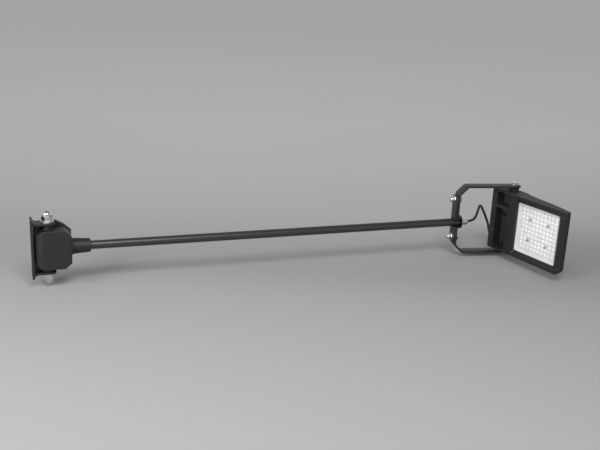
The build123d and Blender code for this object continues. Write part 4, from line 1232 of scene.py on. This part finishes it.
@dataclass
class LensArray:
    """White lens plate behind the window: a shallow tray with a dome over each light source."""

    lamp: LampPlane = field(default_factory=LampPlane)
    middle: float = 141.0
    length: float = 154.4
    height: float = 140.4
    corner: float = 5.7
    corner_steps: int = 5
    lip_back: float = 34.1
    lip_front: float = 36.8
    lip_reach: float = 2.7
    slope: float = 6.0
    face: float = 31.0
    back: float = 24.6
    skirt: float = 3.5
    skin: float = 2.0
    rows: int = 10
    pitch: tuple[float, float] = (13.3, 11.9)
    dome: tuple[float, float, float] = (9.4, 8.6, 1.9)
    dome_sunk: float = 0.1
    dome_sides: int = 14
    dome_rings: int = 8
    screws: tuple[float, float] = (33.25, 29.75)
    rim: float = 1.2
    squareness: float = 0.12
    # Painted shade and light: the same white moulding is darker on the tray, as shade between the
    # domes, and paler on the domes, as light in them.
    tray_painted_shade_level: float = 0.86
    dome_painted_light_level: float = 0.97

    def at_level(self, shape: bmesh.types.BMesh, level: float) -> list[bmesh.types.BMFace]:
        """Find the flat faces that lie at a level, in lamp millimetres."""
        return [f for f in shape.faces if all(abs(v.co.z - level) < NEAR for v in f.verts)]

    def push(self, shape: bmesh.types.BMesh, level: float, inset: float, to: float) -> None:
        """Inset the flat face at a level and push its middle straight to another level.

        Args:
            shape: mesh of the plate, in lamp millimetres.
            level: where the face lies.
            inset: width of the rim that stays.
            to: where the middle goes.
        """
        faces = self.at_level(shape, level)
        bmesh.ops.inset_region(shape, faces=faces, thickness=inset)
        made = bmesh.ops.extrude_discrete_faces(shape, faces=faces)["faces"]
        verts = list({v for face in made for v in face.verts})
        bmesh.ops.translate(shape, verts=verts, vec=(0.0, 0.0, to - level))

    def plate(self, shape: bmesh.types.BMesh) -> None:
        """Make the tray: a lip under the glass, sloping sides, a flat face and a hollow back.

        Args:
            shape: empty mesh to make it in, in lamp millimetres.
        """
        bmesh.ops.create_cube(shape, size=1.0)
        thick = self.lip_front - self.lip_back
        bmesh.ops.scale(shape, verts=shape.verts, vec=(self.length, self.height, thick))
        centre = (self.middle, 0.0, self.lip_back + thick / 2)
        bmesh.ops.translate(shape, verts=shape.verts, vec=centre)
        rises = {e: abs(e.verts[0].co.z - e.verts[1].co.z) for e in shape.edges}
        uprights = [edge for edge, rise in rises.items() if rise > thick / 2]
        round_off(shape, uprights, self.corner, self.corner_steps)
        self.push(shape, self.lip_back, self.lip_reach, self.back)
        self.push(shape, self.back, self.skirt, self.face - self.skin)
        front = self.at_level(shape, self.lip_front)
        bmesh.ops.inset_region(shape, faces=front, thickness=self.rim)
        bmesh.ops.inset_region(shape, faces=front, thickness=self.slope)
        inner = list({v for face in front for v in face.verts})
        bmesh.ops.translate(shape, verts=inner, vec=(0.0, 0.0, self.face - self.lip_front))

    def dome_at(self, shape: bmesh.types.BMesh, x: float, y: float) -> None:
        """Set one dome: the front half of a flattened ball with a squarish foot.

        Args:
            shape: mesh to add it to, in lamp millimetres.
            x: its place along the lamp.
            y: its place up the lamp.
        """
        long, high, rise = self.dome
        with_ball = bmesh.ops.create_uvsphere(
            shape, u_segments=self.dome_sides, v_segments=self.dome_rings, radius=0.5
        )
        verts = with_ball["verts"]
        geom = {g for v in verts for g in (v, *v.link_edges, *v.link_faces)}
        cut = bmesh.ops.bisect_plane(
            shape, geom=list(geom), plane_co=(0, 0, 0), plane_no=(0, 0, -1), clear_outer=True
        )
        verts = [g for g in cut["geom"] if isinstance(g, bmesh.types.BMVert) and g.is_valid]
        rim = list({e for v in verts for e in v.link_edges if e.is_boundary})
        bmesh.ops.holes_fill(shape, edges=rim)
        for vert in verts:
            bearing = math.atan2(vert.co.y, vert.co.x)
            swell = 1.0 + self.squareness * math.sin(2.0 * bearing) ** 2
            vert.co.x *= swell
            vert.co.y *= swell
        bmesh.ops.scale(shape, verts=verts, vec=(long, high, 2.0 * rise))
        bmesh.ops.translate(shape, verts=verts, vec=(x, y, self.face - self.dome_sunk))

    def domes(self, shape: bmesh.types.BMesh) -> int:
        """Set a dome at every place of the grid but the four that hold screws.

        Args:
            shape: mesh to add them to, in lamp millimetres.

        Returns:
            How many domes there are.
        """
        steps = [step - (self.rows - 1) / 2 for step in range(self.rows)]
        count = 0
        for column in steps:
            for row in steps:
                x, y = column * self.pitch[0], row * self.pitch[1]
                if math.isclose(abs(x), self.screws[0]) and math.isclose(abs(y), self.screws[1]):
                    continue
                self.dome_at(shape, self.middle + x, y)
                count += 1
        return count

    def build(self) -> None:
        """Make the plate and its domes, the tray darker as painted shade between the domes and the
        domes paler as painted light.
        """
        plate = Piece("lens_tray")
        self.plate(plate.shape)
        domes = Piece("lens_domes")
        count = self.domes(domes.shape)
        # Painted shade on the tray, painted light on the domes
        for piece, level in ((plate, self.tray_painted_shade_level), (domes, self.dome_painted_light_level)):
            bmesh.ops.transform(piece.shape, matrix=self.lamp.matrix(), verts=piece.shape.verts)
            moulding = Moulding(level=level, roughness=0.22, grain_depth=0.00002)
            item = piece.finish(moulding.material(piece.name), smooth_angle=40.0)
            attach(item, Body.LAMP.value)
        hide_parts("lens_plate")
        log.info("lens tray has %d domes", count)


@dataclass
class LampLead:
    """Free lead from the arm's gland to the lamp's gland."""

    diameter: float = 7.0
    sides: int = 20
    lamp: LampPlane = field(default_factory=LampPlane)
    mouth: tuple[float, float, float] = (-58.0, -67.0, 6.0)
    run_in: float = -4.8
    run_in_rise: float = 0.2
    route: tuple[tuple[float, float, float], ...] = (
        (1206.5, 0.0, 0.0),
        (1220.5, 0.0, 0.0),
        (1235.5, 4.5, 7.5),
        (1248.0, 16.0, 20.0),
        (1260.0, 30.0, 31.5),
        (1273.0, 43.0, 33.5),
        (1287.0, 54.0, 19.0),
        (1300.0, 61.0, 2.0),
        (1311.0, 65.5, -15.5),
        (1318.0, 64.5, -29.5),
        (1318.5, 58.5, -42.5),
        (1315.5, 49.0, -52.0),
        (1313.5, 38.4, -56.8),
    )

    def points(self) -> list[Vector]:
        """Give the route's points, down to the mouth of the lamp's gland.

        Returns:
            The points, in metres.
        """
        ends = []
        for along, rise in ((self.run_in, self.run_in_rise), (0.0, 0.0)):
            x, y, z = self.mouth
            ends.append(self.lamp.matrix() @ Vector((x + along, y + rise, z)))
        return [Vector(p) * MM for p in self.route] + ends

    def centreline(self) -> list[Vector]:
        """Read the smooth line that the route's spline follows.

        Returns:
            Points along the line, in metres.
        """
        curve = bpy.data.curves.new("lead_route", "CURVE")
        curve.dimensions = "3D"
        curve.resolution_u = 12
        spline = curve.splines.new("NURBS")
        points = self.points()
        spline.points.add(len(points) - 1)
        for control, place in zip(spline.points, points):
            control.co = (*place, 1.0)
        spline.order_u = 3
        spline.use_endpoint_u = True
        holder = bpy.data.objects.new("lead_route", curve)
        bpy.context.scene.collection.objects.link(holder)
        bpy.context.view_layer.update()
        mesh = bpy.data.meshes.new_from_object(holder)
        line = [vertex.co.copy() for vertex in mesh.vertices]
        bpy.data.objects.remove(holder)
        bpy.data.curves.remove(curve)
        bpy.data.meshes.remove(mesh)
        return line

    def build(self, shop: FinishShop) -> None:
        """Make the lead as a tube along its line.

        Args:
            shop: where its finish comes from.
        """
        line = self.centreline()
        radius = self.diameter / 2 * MM
        piece = Piece("lead")
        side = Vector((0.0, 0.0, 1.0))
        rings: list[list[bmesh.types.BMVert]] = []
        for index, place in enumerate(line):
            ahead = line[min(index + 1, len(line) - 1)] - line[max(index - 1, 0)]
            ahead.normalize()
            side = (side - ahead * side.dot(ahead)).normalized()
            other = ahead.cross(side)
            turn = Matrix((side, other, ahead)).transposed().to_4x4()
            where = Matrix.Translation(place) @ turn
            made = bmesh.ops.create_circle(
                piece.shape, segments=self.sides, radius=radius, matrix=where
            )
            rings.append(made["verts"])
        for before, after in zip(rings, rings[1:]):
            edges = [e for e in piece.shape.edges if e.is_boundary or not e.link_faces]
            wanted = set(before) | set(after)
            pair = [e for e in edges if e.verts[0] in wanted and e.verts[1] in wanted]
            bmesh.ops.bridge_loops(piece.shape, edges=pair)
        for end in (rings[0], rings[-1]):
            rim = {e for v in end for e in v.link_edges if e.is_boundary}
            bmesh.ops.contextual_create(piece.shape, geom=list(rim))
        item = piece.finish(shop.get(Slot.BLACK_RUBBER), smooth_angle=60.0)
        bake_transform(item)
        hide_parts("lamp_lead")


def box_as_lists() -> list[list[float]]:
    """Give the box of everything that shows, as plain lists."""
    return [list(map(float, corner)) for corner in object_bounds()]


def main() -> None:
    """Build the camera, each piece, the finishes and the studio."""
    logging.basicConfig(level=logging.INFO, format="%(message)s")
    cad_box = box_as_lists()
    shop = FinishShop()
    ViewPoint().build()
    LampLead().build(shop)
    Yoke().strap(shop)
    Yoke().end_plate(shop)
    TubeEnd().tube(shop)
    TubeEnd().collar(shop)
    AcornNuts().build(shop)
    HubWeb().build(shop)
    LensArray().build()
    shop.dress_frame()
    log.info("%d finishes are given to the carried-over nodes", len(shop.made))
    Studio().build(cad_box[0][2])


if __name__ == "__main__":
    main()
